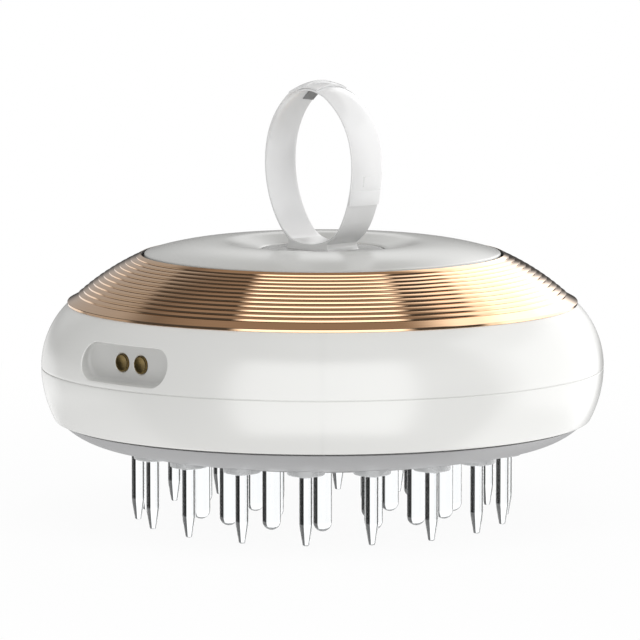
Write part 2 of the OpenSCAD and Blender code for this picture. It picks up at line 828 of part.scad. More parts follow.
// The dome's outside: a shallow arc, then a tighter one that bends up into the rim
module base_outline() {
    way = bend_c - [0, dome_centre_z];
    split = [0, dome_centre_z] + way * 2;
    top = [way[0] / way[1] * (base_rim_z - dome_centre_z), base_rim_z];
    intersection() {
        translate([0, dome_centre_z]) circle(dome_r, $fn = dome_fn * 2);
        polygon([[0, base_rim_z], top, split, [0, split[1]]]);
    }
    intersection() {
        translate(bend_c) circle(dome_bend_r);
        polygon([top, split, [body_d, 0], [body_d, base_rim_z]]);
    }
}

module base_section() {
    difference() {
        union() {
            base_outline();
            band(base_rim_z - base_groove, base_joint_z, base_spigot_r);
        }
        intersection() {
            translate([0, dome_centre_z]) circle(dome_r - dome_t, $fn = dome_fn * 2);
            band(0, dome_centre_z, base_in_r);
        }
        translate([base_seal_r - base_seal_w / 2 - seat_clearance, base_joint_z - base_seal_t])
            square([base_seal_w + 2 * seat_clearance, base_seal_t + wall]);
    }
}

// A round boss that stands on the dome's inside, up to a height
module dome_boss(d, top, r) {
    low = dome_height(max(r - d / 2, 0)) + dome_t / 2;
    translate([0, 0, low]) cylinder(d = d, h = top - low);
}

module base_plate() {
    color([0.70, 0.71, 0.72]) difference() {
        union() {
            rotate_extrude() base_section();
            around(outer_count, outer_ring_r) translate([0, 0, tooth_seat_z])
                cylinder(d = flange_d + 2 * loose_clearance, h = dome_t / 2);
            around(post_count, base_screw_r) dome_boss(base_boss_d, base_joint_z, base_screw_r);
            around(post_count, board_post_r, board_post_turn) dome_boss(board_post_d, board_z, board_post_r);
            around(led_post_count, outer_ring_r, 180 / outer_count)
                dome_boss(root_d, led_board_z, outer_ring_r);
            for (side = [-1, 1]) {
                translate([motor_x, side * clamp_screw_y, 0])
                    dome_boss(clamp_boss_d, clamp_foot_z, clamp_screw_y);
            }
            motor_saddles();
        }
        around(outer_count, outer_ring_r) tooth_hole(flange_d, tooth_seat_z);
        around(middle_count, middle_ring_r) tooth_hole(round_d, dome_height(middle_ring_r) + root_rise);
        around(inner_count, inner_ring_r) tooth_hole(round_d, dome_height(inner_ring_r) + root_rise);
        around(post_count, base_screw_r)
            pilot_hole(base_screw_d, base_joint_z + shell_flange_t, base_shank_l);
        around(post_count, board_post_r, board_post_turn)
            pilot_hole(board_screw_d, board_top_z, board_shank_l);
        for (side = [-1, 1]) {
            translate([motor_x, side * clamp_screw_y, 0])
                pilot_hole(board_screw_d, clamp_foot_z + clamp_foot_t, clamp_shank_l);
        }
    }
}

// A tooth's root hole, with a flat seat cut up to a height
module tooth_hole(d, seat_z) {
    cylinder(d = d + 2 * seat_clearance, h = seat_z);
    cylinder(d = root_d + 2 * running_clearance, h = seat_z + dome_t + wall);
}

// A screw's pilot hole, from a head's seat down past the end of its shank
module pilot_hole(d, seat_z, shank_l) {
    translate([0, 0, seat_z - shank_l - loose_clearance])
        cylinder(d = d + 2 * running_clearance, h = shank_l + wall);
}

// Two ribs that cradle the motor, one at each end of its clamp
module motor_saddles() {
    rib_w = motor_d - saddle_rib_gap;
    low = dome_height(0) + dome_t / 2;
    difference() {
        for (side = [-1, 1]) {
            translate([motor_x + side * (clamp_w / 2 + saddle_rib_gap + saddle_rib_t / 2) - saddle_rib_t / 2,
                -rib_w / 2, low]) cube([saddle_rib_t, rib_w, motor_z - motor_r / 2 - low]);
        }
        translate([motor_back_x - motor_l, 0, motor_z]) rotate([0, 90, 0])
            cylinder(r = motor_r + running_clearance, h = 3 * motor_l);
    }
}

// One tapered tooth at the middle: root, flange, shaft, taper and rounded tip
module tapered_tooth() {
    tip_r = tip_d / 2;
    rotate_extrude() {
        polygon([
            [0, tip_round], [tip_r, tip_round], [outer_d / 2, taper_len], [outer_d / 2, outer_len],
            [flange_d / 2, outer_len], [flange_d / 2, tooth_seat_z], [root_r, tooth_seat_z],
            [root_r, outer_root_z], [0, outer_root_z]
        ]);
        band(0, tip_round, tip_r - tip_round);
        intersection() {
            translate([tip_r - tip_round, tip_round]) circle(tip_round);
            band(0, tip_round, tip_r);
        }
    }
}

module outer_tooth(i) {
    color([0.9, 0.93, 0.95, 0.6]) rotate([0, 0, (i - 1) * 360 / outer_count - 90])
        translate([outer_ring_r, 0, 0]) tapered_tooth();
}

// One round-ended tooth at the middle of a place whose seat is at the given height
module round_tooth(r) {
    seat_z = dome_height(r) + root_rise;
    tooth_r = round_d / 2;
    rotate_extrude() {
        band(round_tip_z + tooth_r, seat_z, tooth_r);
        band(seat_z - root_r, dome_inside(r) + root_rise, root_r);
        intersection() {
            translate([0, round_tip_z + tooth_r]) circle(tooth_r);
            band(0, round_tip_z + tooth_r, tooth_r);
        }
    }
}

module middle_teeth() {
    color([0.9, 0.93, 0.95, 0.6]) around(middle_count, middle_ring_r) round_tooth(middle_ring_r);
}

module inner_teeth() {
    color([0.9, 0.93, 0.95, 0.6]) around(inner_count, inner_ring_r) round_tooth(inner_ring_r);
}

// Charging pocket

module charge_contact(side) {
    color([0.75, 0.6, 0.25]) translate([side * contact_pitch / 2, 0, pocket_z]) rotate([90, 0, 0]) {
        translate([0, 0, pocket_floor_y - contact_head_t])
            cylinder(d = contact_d, h = contact_head_t + contact_proud);
        tail_l = charge_board_t + contact_tail;
        translate([0, 0, pocket_back_y - tail_l])
            cylinder(d = contact_shank_d, h = pocket_floor + tail_l - contact_head_t + eps);
    }
}

module charge_board() {
    color("darkgreen") difference() {
        translate([-charge_board_l / 2, -pocket_back_y, pocket_z - charge_board_h / 2])
            cube([charge_board_l, charge_board_t, charge_board_h]);
        for (side = [-1, 1]) {
            translate([side * contact_pitch / 2, 0, pocket_z]) rotate([90, 0, 0])
                cylinder(d = contact_shank_d + 2 * running_clearance, h = body_r);
        }
    }
}

module charge_magnets() {
    color("dimgray") for (side = [-1, 1]) {
        translate([side * magnet_x, -pocket_floor_y + magnet_skin, pocket_z]) rotate([-90, 0, 0])
            cylinder(d = magnet_d, h = pocket_floor - magnet_skin);
    }
}

// Power button and its switch

module button_cap() {
    color([0.88, 0.88, 0.87]) rotate([0, 0, 180]) {
        intersection() {
            slot_prism(button_l, button_h, button_flange_y - button_flange_t / 2, body_d);
            rotate_extrude() nose(-button_proud);
        }
        slot_prism(button_l + 2 * button_flange_w, button_h + 2 * button_flange_w,
            button_flange_y - button_flange_t, button_flange_y);
        translate([0, -button_stem_y, pocket_z]) rotate([90, 0, 0])
            cylinder(d = plunger_d, h = button_stem_l + eps);
    }
}

module button_seal() {
    color([0.75, 0.75, 0.74]) rotate([0, 0, 180]) difference() {
        slot_prism(button_l + 2 * button_flange_w, button_h + 2 * button_flange_w,
            button_pad_y - button_seal_t, button_pad_y);
        slot_prism(button_l + 2 * loose_clearance, button_h + 2 * loose_clearance, 0, body_r);
    }
}

module switch_body() {
    color([0.15, 0.15, 0.16]) difference() {
        translate([-switch_h / 2, switch_y - switch_depth, board_top_z])
            cube([switch_h, switch_depth, switch_h]);
        translate([0, switch_y - plunger_in - button_travel - loose_clearance, pocket_z]) rotate([-90, 0, 0])
            cylinder(d = plunger_d + 2 * running_clearance, h = switch_depth);
    }
}

module switch_plunger() {
    color("white") translate([0, switch_y - plunger_in, pocket_z]) rotate([-90, 0, 0])
        cylinder(d = plunger_d, h = plunger_in + plunger_out);
}

// Boards, battery and lights

module main_board() {
    color("darkgreen") translate([0, 0, board_z]) linear_extrude(board_t) difference() {
        union() {
            circle(board_r);
            translate([-tongue_w / 2, 0]) square([tongue_w, tongue_y]);
        }
        around(post_count, board_post_r, board_post_turn) circle(d = board_screw_d + loose_clearance);
    }
}

module board_screws() {
    color("silver") around(post_count, board_post_r, board_post_turn)
        translate([0, 0, board_top_z]) screw(board_screw_d, board_shank_l);
}

// Inductor, controller, charger chip and socket in a row beside the battery
module board_components() {
    sizes = [[coil_w, coil_t], [controller_w, controller_t], [charger_w, charger_t], [socket_w, socket_t]];
    row_y = battery_w / 2 + component_gap + controller_w / 2;
    color([0.12, 0.12, 0.13]) for (i = [0:len(sizes) - 1]) {
        translate([(i - 1) * component_pitch - sizes[i][0] / 2, row_y - sizes[i][0] / 2, board_top_z])
            cube([sizes[i][0], sizes[i][0], sizes[i][1]]);
    }
}

// A box with rounded upright corners, on the given height
module cell(size, z) {
    translate([0, 0, z]) linear_extrude(size[2]) union() {
        square([size[0] - 2 * battery_round, size[1]], center = true);
        square([size[0], size[1] - 2 * battery_round], center = true);
        for (x = [-1, 1], y = [-1, 1]) {
            translate([x * (size[0] / 2 - battery_round), y * (size[1] / 2 - battery_round)])
                circle(battery_round);
        }
    }
}

module battery() {
    color([0.55, 0.6, 0.68]) cell([battery_l, battery_w, battery_t], battery_z);
}

module battery_pad() {
    color([0.2, 0.2, 0.2]) cell([battery_l - battery_round, battery_w - battery_round, pad_t], board_top_z);
}

module led_board() {
    color("white") translate([0, 0, led_board_z]) linear_extrude(led_board_t) difference() {
        circle(outer_ring_r + led_board_w / 2);
        circle(outer_ring_r - led_board_w / 2);
    }
}

module leds() {
    color([0.95, 0.9, 0.7]) around(outer_count, outer_ring_r)
        translate([-led_size[0] / 2, -led_size[1] / 2, led_z]) cube([led_size[0], led_size[1], led_h]);
}

// Vibration motor

module motor_can() {
    color("silver") difference() {
        translate([motor_back_x, 0, motor_z]) rotate([0, 90, 0]) {
            cylinder(r = motor_r, h = motor_l);
            cylinder(r = motor_nose_r, h = motor_l + motor_nose_l);
        }
        translate([motor_back_x + shaft_tail - loose_clearance, 0, motor_z]) rotate([0, 90, 0])
            cylinder(d = shaft_d + 2 * running_clearance, h = 2 * motor_l);
    }
}

module motor_shaft() {
    color("gray") translate([motor_back_x + shaft_tail, 0, motor_z]) rotate([0, 90, 0])
        cylinder(d = shaft_d, h = weight_x + weight_l + shaft_end - motor_back_x - shaft_tail);
}

// The weight is a half disc below the shaft with a round hub
module motor_weight() {
    hub = shaft_d / 2 + weight_hub_t;
    color("goldenrod") translate([weight_x, 0, motor_z]) rotate([90, 0, 90])
    linear_extrude(weight_l) difference() {
        union() {
            circle(hub);
            intersection() {
                circle(weight_r);
                translate([-weight_r, -weight_r]) square([2 * weight_r, weight_r]);
            }
        }
        circle(d = shaft_d + seat_clearance / 2);
    }
}

// The clamp bends over the motor and ends in two ears
module motor_clamp() {
    inner = motor_r + running_clearance;
    outer = motor_r + clamp_t;
    color([0.7, 0.7, 0.7]) difference() {
        translate([motor_x - clamp_w / 2, 0, motor_z]) rotate([90, 0, 90])
        linear_extrude(clamp_w) difference() {
            union() {
                circle(outer);
                translate([-outer - clamp_ear, clamp_foot_z - motor_z])
                    square([2 * (outer + clamp_ear), clamp_foot_t]);
                translate([-outer, clamp_foot_z - motor_z]) square([2 * outer, motor_z - clamp_foot_z]);
            }
            circle(inner);
            translate([-inner, -2 * outer]) square([2 * inner, 2 * outer]);
            translate([-2 * outer, -3 * outer]) square([4 * outer, 3 * outer + clamp_foot_z - motor_z]);
        }
        for (side = [-1, 1]) {
            translate([motor_x, side * clamp_screw_y, 0])
                cylinder(d = board_screw_d + loose_clearance, h = motor_z);
        }
    }
}

module clamp_screws() {
    color("silver") for (side = [-1, 1]) {
        translate([motor_x, side * clamp_screw_y, clamp_foot_z + clamp_foot_t])
            screw(board_screw_d, clamp_shank_l);
    }
}

// Leads, two to a pair

module battery_leads() {
    color("firebrick") for (side = [-1, 1]) {
        translate([0, side * battery_lead_y, 0]) lead(battery_lead, [0, 1, 0]);
    }
}

module motor_leads() {
    color("royalblue") for (side = [-1, 1]) {
        translate([0, side * motor_lead_y, 0]) lead(motor_lead, [0, 1, 0]);
    }
}

module charge_leads() {
    color("firebrick") for (side = [-1, 1]) {
        translate([side * charge_lead_x, 0, 0]) lead(charge_lead, [1, 0, 0]);
    }
}

module led_leads() {
    color("white") for (side = [-1, 1]) {
        translate([0, side * led_lead_y, 0]) lead(led_lead, [0, 1, 0]);
    }
}

top_cap();
finger_ring();
ring_washer();
ring_screw();
trim_ring();
upper_shell();
lower_shell();
base_plate();
parting_seal();
base_seal();
for (i = [1:outer_count]) {
    outer_tooth(i);
}
middle_teeth();
inner_teeth();
charge_contact(-1);  // charge_contact_left
charge_contact(1);  // charge_contact_right
charge_board();
charge_magnets();
button_cap();
button_seal();
switch_body();
switch_plunger();
main_board();
board_components();
battery();
battery_pad();
motor_can();
motor_shaft();
motor_weight();
motor_clamp();
led_board();
leds();
housing_screws();
base_screws();
board_screws();
clamp_screws();
battery_leads();
motor_leads();
charge_leads();
led_leads();
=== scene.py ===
"""Looks of a palm-held scalp massager.

Glossy white shells, a stepped rose-gold trim ring, a satin cap with a finger strap on it, a charging pocket
at one side and clear teeth on a grey dome. Sizes in the classes are in millimetres. Meshes are in metres, in
the frame of the solids.
"""

import logging
import math
from dataclasses import dataclass
from enum import Enum

import bmesh
import bpy
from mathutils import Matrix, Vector


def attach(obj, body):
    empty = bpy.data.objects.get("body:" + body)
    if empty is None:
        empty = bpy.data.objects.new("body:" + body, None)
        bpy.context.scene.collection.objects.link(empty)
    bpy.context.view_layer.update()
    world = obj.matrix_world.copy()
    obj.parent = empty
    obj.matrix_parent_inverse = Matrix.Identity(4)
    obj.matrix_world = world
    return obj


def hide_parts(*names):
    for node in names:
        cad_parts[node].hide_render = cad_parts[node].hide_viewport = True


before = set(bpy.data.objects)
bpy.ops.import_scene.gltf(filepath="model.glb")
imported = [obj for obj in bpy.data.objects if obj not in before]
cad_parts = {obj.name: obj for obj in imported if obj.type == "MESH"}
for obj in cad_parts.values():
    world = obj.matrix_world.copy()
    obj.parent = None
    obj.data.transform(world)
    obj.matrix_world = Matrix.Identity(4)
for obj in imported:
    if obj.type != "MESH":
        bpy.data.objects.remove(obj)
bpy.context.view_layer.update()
LOG = logging.getLogger("scalp_massager")
MM = 0.001

Outline = list[tuple[float, float]]
Ring = list[tuple[float, float, float]]
Colour = tuple[float, float, float]
Feeds = dict[str | int, object]
Piece = bpy.types.Object
Socket = bpy.types.NodeSocket
Tree = bpy.types.NodeTree


def arc(centre: tuple[float, float], radius: float, start: float, end: float, count: int) -> Outline:
    """Points on an arc.

    Args:
        centre: The arc's centre.
        radius: The arc's radius.
        start: Direction of the first point, in degrees.
        end: Direction of the last point, in degrees.
        count: Number of steps between them.

    Returns:
        The points, first and last included.
    """
    points = []
    for i in range(count + 1):
        turn = math.radians(start + (end - start) * i / count)
        points.append((centre[0] + radius * math.cos(turn), centre[1] + radius * math.sin(turn)))
    return points


def slot_ring(length: float, height: float, grow: float, count: int) -> Outline:
    """Points on a slot with round ends, its length along the first axis.

    Args:
        length: Length over the round ends.
        height: Height between the straight sides.
        grow: How far the outline is moved outwards.
        count: Steps on each round end.

    Returns:
        The points, anticlockwise.
    """
    reach = (length - height) / 2
    radius = height / 2 + grow
    right = arc((reach, 0.0), radius, -90.0, 90.0, count)
    left = arc((-reach, 0.0), radius, 90.0, 270.0, count)
    steps = 10
    top = [(reach - 2 * reach * i / steps, radius) for i in range(1, steps)]
    bottom = [(-reach + 2 * reach * i / steps, -radius) for i in range(1, steps)]
    return right + top + left + bottom


def upright(outline: Outline, depth: float, middle: float) -> Ring:
    """Stands an outline up in a plane across the depth axis.

    Args:
        outline: Place across and height of each point.
        depth: Place of the plane.
        middle: Height of the outline's origin.

    Returns:
        The ring.
    """
    return [(x, depth, middle + z) for x, z in outline]


def between(start: tuple[float, float], end: tuple[float, float], part: float) -> tuple[float, float]:
    """The point that lies a part of the way from a start to an end."""
    return start[0] + (end[0] - start[0]) * part, start[1] + (end[1] - start[1]) * part


def ease(value: float) -> float:
    """A smooth step from 0 to 1."""
    part = max(0.0, min(1.0, value))
    return part * part * (3 - 2 * part)


class Bench:
    """Modelling steps that the pieces share."""

    @staticmethod
    def clear() -> None:
        """Leaves edit mode and deselects everything."""
        if bpy.context.mode != "OBJECT":
            bpy.ops.object.mode_set(mode="OBJECT")
        bpy.ops.object.select_all(action="DESELECT")

    @staticmethod
    def pick(piece: Piece) -> None:
        """Selects one piece alone and makes it active."""
        Bench.clear()
        piece.select_set(True)
        bpy.context.view_layer.objects.active = piece

    @staticmethod
    def named(name: str) -> Piece:
        """Names the active piece and its mesh."""
        piece = bpy.context.active_object
        piece.name = name
        piece.data.name = name
        return piece

    @staticmethod
    def settle(piece: Piece, crease: float) -> None:
        """Puts a piece's place into its mesh and smooths it.

        Args:
            piece: The piece.
            crease: Edges sharper than this many degrees stay sharp.
        """
        Bench.pick(piece)
        bpy.ops.object.transform_apply(location=True, rotation=True, scale=True)
        bpy.ops.object.shade_smooth_by_angle(angle=math.radians(crease), keep_sharp_edges=False)

    @staticmethod
    def close(piece: Piece) -> None:
        """Merges doubles and turns all faces outwards."""
        Bench.pick(piece)
        bpy.ops.object.mode_set(mode="EDIT")
        bpy.ops.mesh.select_all(action="SELECT")
        bpy.ops.mesh.remove_doubles(threshold=3e-7)
        bpy.ops.mesh.normals_make_consistent(inside=False)
        bpy.ops.object.mode_set(mode="OBJECT")

    @staticmethod
    def spun(name: str, outline: Outline, steps: int, closed: bool = False) -> Piece:
        """Spins a half section about the upright axis.

        Args:
            name: Name of the piece.
            outline: Radius and height of each point.
            steps: Number of steps in the full turn.
            closed: Whether the last point joins the first.

        Returns:
            The closed piece.
        """
        Bench.clear()
        first = outline[0]
        bpy.ops.mesh.primitive_plane_add(size=MM, location=(first[0] * MM, 0.0, first[1] * MM))
        piece = Bench.named(name)
        bpy.ops.object.transform_apply(location=True, rotation=True, scale=True)
        bpy.ops.object.mode_set(mode="EDIT")
        bpy.ops.mesh.select_all(action="SELECT")
        bpy.ops.mesh.merge(type="CENTER")
        last = first
        for point in outline[1:] + ([first] if closed else []):
            step = ((point[0] - last[0]) * MM, 0.0, (point[1] - last[1]) * MM)
            bpy.ops.mesh.extrude_region_move(TRANSFORM_OT_translate={"value": step})
            last = point
        bpy.ops.mesh.select_all(action="SELECT")
        bpy.ops.mesh.remove_doubles(threshold=3e-7)
        bpy.ops.mesh.select_all(action="SELECT")
        bpy.ops.mesh.spin(steps=steps, angle=2 * math.pi, center=(0.0, 0.0, 0.0), axis=(0.0, 0.0, 1.0))
        Bench.close(piece)
        return piece

    @staticmethod
    def lofted(name: str, rings: list[Ring]) -> Piece:
        """Extrudes a closed ring through a row of rings and caps both ends.

        Args:
            name: Name of the piece.
            rings: Rings of equal count, with points that answer each other.

        Returns:
            The closed piece.
        """
        Bench.clear()
        bpy.ops.mesh.primitive_circle_add(vertices=len(rings[0]), radius=MM, fill_type="NOTHING")
        piece = Bench.named(name)
        bpy.ops.object.mode_set(mode="EDIT")
        bpy.ops.mesh.select_all(action="SELECT")
        mesh = bmesh.from_edit_mesh(piece.data)
        mesh.verts.ensure_lookup_table()
        for vert, spot in zip(mesh.verts, rings[0]):
            vert.co = Vector(spot) * MM
        bmesh.update_edit_mesh(piece.data)
        bpy.ops.mesh.edge_face_add()
        bpy.ops.mesh.select_mode(type="EDGE")
        bpy.ops.mesh.select_all(action="SELECT")
        bpy.ops.mesh.delete(type="ONLY_FACE")
        bpy.ops.mesh.select_mode(type="VERT")
        bpy.ops.mesh.select_all(action="SELECT")
        for before, ring in zip(rings, rings[1:]):
            bpy.ops.mesh.extrude_region_move(TRANSFORM_OT_translate={"value": (0.0, 0.0, 0.0)})
            mesh = bmesh.from_edit_mesh(piece.data)
            old = [Vector(spot) * MM for spot in before]
            for vert in mesh.verts:
                if vert.select:
                    near = min(range(len(old)), key=lambda i: (old[i] - vert.co).length_squared)
                    vert.co = Vector(ring[near]) * MM
            bmesh.update_edit_mesh(piece.data)
        bpy.ops.mesh.edge_face_add()
        bpy.ops.mesh.select_all(action="DESELECT")
        bpy.ops.mesh.select_non_manifold()
        bpy.ops.mesh.edge_face_add()
        Bench.close(piece)
        return piece

    @staticmethod
    def cut(piece: Piece, tool: Piece, way: str = "DIFFERENCE") -> None:
        """Cuts a piece with a tool, or adds the tool to it, and takes the tool away.

        Args:
            piece: The piece that changes.
            tool: The closed shape it is cut with.
            way: The boolean operation.
        """
        Bench.pick(piece)
        change = piece.modifiers.new("cut", "BOOLEAN")
        change.operation = way
        change.solver = "EXACT"
        change.object = tool
        bpy.ops.object.modifier_apply(modifier=change.name)
        bpy.data.objects.remove(tool)

    @staticmethod
    def joined(pieces: list[Piece]) -> Piece:
        """Joins pieces into the first one."""
        Bench.clear()
        for piece in pieces:
            piece.select_set(True)
        bpy.context.view_layer.objects.active = pieces[0]
        bpy.ops.object.join()
        return pieces[0]

    @staticmethod
    def copied(piece: Piece, name: str, turn: float) -> Piece:
        """Copies a piece with its own mesh and turns the copy about the upright axis.

        Args:
            piece: The piece to copy.
            name: Name of the copy.
            turn: Turn in degrees.

        Returns:
            The copy.
        """
        Bench.pick(piece)
        bpy.ops.object.duplicate(linked=False)
        copy = Bench.named(name)
        copy.rotation_euler = (0.0, 0.0, math.radians(turn))
        bpy.ops.object.transform_apply(location=True, rotation=True, scale=True)
        return copy

    @staticmethod
    def ringed(first: Piece, count: int, names: str) -> list[Piece]:
        """Spreads copies of a piece evenly about the upright axis.

        Args:
            first: The piece.
            count: Number of pieces in the ring.
            names: Pattern of their names, with a place for the number.

        Returns:
            The piece and its copies.
        """
        copies = [Bench.copied(first, names.format(i + 1), 360.0 / count * i) for i in range(1, count)]
        return [first] + copies

    @staticmethod
    def lay(piece: Piece, across: float, height: float) -> None:
        """Lays a spun piece down so that its top points to the front, at a place across and a height."""
        piece.rotation_euler = (math.radians(90.0), 0.0, 0.0)
        piece.location = (across * MM, 0.0, height * MM)
        Bench.settle(piece, 30.0)


class Nodes:
    """A node tree and the steps that fill it."""

    def __init__(self, tree: Tree) -> None:
        """Takes a tree to fill."""
        self.tree = tree

    def feed(self, node: bpy.types.Node, feeds: Feeds) -> None:
        """Feeds inputs of a node.

        Args:
            node: The node.
            feeds: A value or a socket for each input, by name or number.
        """
        for name, value in feeds.items():
            if isinstance(value, Socket):
                self.tree.links.new(value, node.inputs[name])
            else:
                node.inputs[name].default_value = value

    def add(self, kind: str, feeds: Feeds | None = None, **settings: object) -> bpy.types.Node:
        """Adds a node, sets it up and feeds its inputs.

        Args:
            kind: The node's type.
            feeds: A value or a socket for each input, by name or number.
            settings: Its properties.

        Returns:
            The node.
        """
        node = self.tree.nodes.new(kind)
        for name, value in settings.items():
            setattr(node, name, value)
        self.feed(node, feeds or {})
        return node

    def maths(self, operation: str, *values: object) -> Socket:
        """Adds a maths node.

        Args:
            operation: Its operation.
            values: Numbers or sockets.

        Returns:
            Its result.
        """
        return self.add("ShaderNodeMath", dict(enumerate(values)), operation=operation).outputs["Value"]

    def mixed(self, share: Socket, first: Socket,
              second: Socket) -> Socket:
        """Mixes two shaders.

        Args:
            share: The second shader's share.
            first: The first shader.
            second: The second shader.

        Returns:
            The mixed shader.
        """
        return self.add("ShaderNodeMixShader", {0: share, 1: first, 2: second}).outputs["Shader"]


class Grain(Enum):
    """Surface textures that the finishes share."""

    MOULDED = "moulded_grain"
    TURNED = "turned_lines"
    DRAWN = "drawn_lines"
    FLECKED = "fine_flecks"


class GrainGroups:
    """Builds each shared texture once, as a group with a scale in and a mask and a height out.

    A noise has a stretch along each axis, and a height that is so many times finer than its mask.
    """

    NOISES: dict[Grain, tuple[tuple[float, float, float], float]] = {
        Grain.DRAWN: ((0.03, 1.0, 1.0), 4.0),
        Grain.FLECKED: ((1.0, 1.0, 1.0), 2.0),
        Grain.MOULDED: ((1.0, 1.0, 1.0), 14.0),
    }

    @classmethod
    def get(cls, grain: Grain) -> Tree:
        """Gives the group of a texture, which is built the first time it is asked for.

        Args:
            grain: The texture.

        Returns:
            The node group.
        """
        known = bpy.data.node_groups.get(grain.value)
        if known:
            return known
        tree = bpy.data.node_groups.new(grain.value, "ShaderNodeTree")
        for name, way in (("Scale", "INPUT"), ("Mask", "OUTPUT"), ("Height", "OUTPUT")):
            tree.interface.new_socket(name, in_out=way, socket_type="NodeSocketFloat")
        nodes = Nodes(tree)
        scale = nodes.add("NodeGroupInput").outputs["Scale"]
        spot = nodes.add("ShaderNodeTexCoord").outputs["Object"]
        if grain is Grain.TURNED:
            broad = cls._turned(nodes, scale, spot)
            fine = broad
        else:
            stretch, finer = cls.NOISES[grain]
            spot = nodes.add("ShaderNodeMapping", {"Vector": spot, "Scale": stretch}).outputs["Vector"]
            broad = cls._noise(nodes, scale, spot, 4.0)
            fine = cls._noise(nodes, nodes.maths("MULTIPLY", scale, finer), spot, 2.0)
        mask = nodes.add("ShaderNodeMapRange", {"From Min": 0.3, "From Max": 0.7, "Value": broad})
        nodes.add("NodeGroupOutput", {"Mask": mask.outputs["Result"], "Height": fine})
        return tree

    @staticmethod
    def _noise(nodes: Nodes, scale: Socket, spot: Socket,
               detail: float) -> Socket:
        """Adds a noise.

        Args:
            nodes: The group.
            scale: Scale of the noise.
            spot: Where it is read.
            detail: Its detail.

        Returns:
            The noise.
        """
        noise = nodes.add("ShaderNodeTexNoise", {"Vector": spot, "Scale": scale, "Detail": detail})
        return noise.outputs["Fac"]

    @staticmethod
    def _turned(nodes: Nodes, scale: Socket,
                spot: Socket) -> Socket:
        """Adds lines at a constant distance from the upright axis.

        Args:
            nodes: The group.
            scale: Scale of the lines.
            spot: Where they are read.

        Returns:
            The lines.
        """
        flat = nodes.add("ShaderNodeVectorMath", {0: spot, 1: (1.0, 1.0, 0.0)}, operation="MULTIPLY")
        reach = nodes.add("ShaderNodeVectorMath", {0: flat.outputs["Vector"]}, operation="LENGTH")
        feeds = {"W": reach.outputs["Value"], "Scale": scale, "Detail": 3.0}
        return nodes.add("ShaderNodeTexNoise", feeds, noise_dimensions="1D").outputs["Fac"]


@dataclass(frozen=True)
class Finish:
    """One procedural surface finish.

    The colour runs to the shade and the roughness to the polish where the grain's mask is full. The relief is
    the depth of the grain in millimetres.
    """

    name: str
    colour: Colour
    shade: Colour
    roughness: float
    polish: float
    grain: Grain
    scale: float
    relief: float
    metallic: float = 0.0
    coat: float = 0.0
    clear: float = 0.0
    ior: float = 1.5
    specular: float = 0.5

    def material(self) -> bpy.types.Material:
        """Builds the finish's material the first time, and gives it.

        Returns:
            The material.
        """
        known = bpy.data.materials.get(self.name)
        if known:
            return known
        made = bpy.data.materials.new(self.name)
        made.use_nodes = True
        nodes = Nodes(made.node_tree)
        grain = nodes.add("ShaderNodeGroup", {"Scale": self.scale}, node_tree=GrainGroups.get(self.grain))
        mask = grain.outputs["Mask"]
        tints = {0: mask, 6: (*self.colour, 1.0), 7: (*self.shade, 1.0)}
        tint = nodes.add("ShaderNodeMix", tints, data_type="RGBA")
        ends = {"Value": mask, "To Min": self.roughness, "To Max": self.polish}
        rough = nodes.add("ShaderNodeMapRange", ends)
        height = grain.outputs["Height"]
        bump = nodes.add("ShaderNodeBump", {"Height": height, "Strength": 0.5, "Distance": self.relief * MM})
        shader = nodes.tree.nodes["Principled BSDF"]
        nodes.feed(shader, {
            "Base Color": tint.outputs[2],
            "Roughness": rough.outputs["Result"],
            "Normal": bump.outputs["Normal"],
            "Metallic": self.metallic,
            "IOR": self.ior,
            "Specular IOR Level": self.specular,
            "Coat Weight": self.coat,
            "Coat Roughness": 0.04,
            "Transmission Weight": self.clear,
        })
        if self.clear == 1.0:
            self.thin_out(nodes, shader.outputs["BSDF"])
        return made

    @staticmethod
    def thin_out(nodes: Nodes, shader: Socket) -> None:
        """Lets light that has come through one clear piece run straight through the next.

        Args:
            nodes: The material's nodes.
            shader: Its clear shader.
        """
        ray = nodes.add("ShaderNodeLightPath").outputs
        face = nodes.add("ShaderNodeNewGeometry").outputs["Backfacing"]
        turn = nodes.maths("MODULO", ray["Transparent Depth"], 2.0)
        own = nodes.add("ShaderNodeMath", {0: face, 1: turn}, operation="SUBTRACT", use_clamp=True)
        through = nodes.add("ShaderNodeBsdfTransparent").outputs["BSDF"]
        later = nodes.mixed(own.outputs["Value"], through, shader)
        first = nodes.mixed(ray["Is Transmission Ray"], shader, later)
        nodes.feed(nodes.tree.nodes["Material Output"], {"Surface": first})

    def dress(self, piece: Piece) -> None:
        """Gives a piece this finish alone."""
        piece.data.materials.clear()
        piece.data.materials.append(self.material())


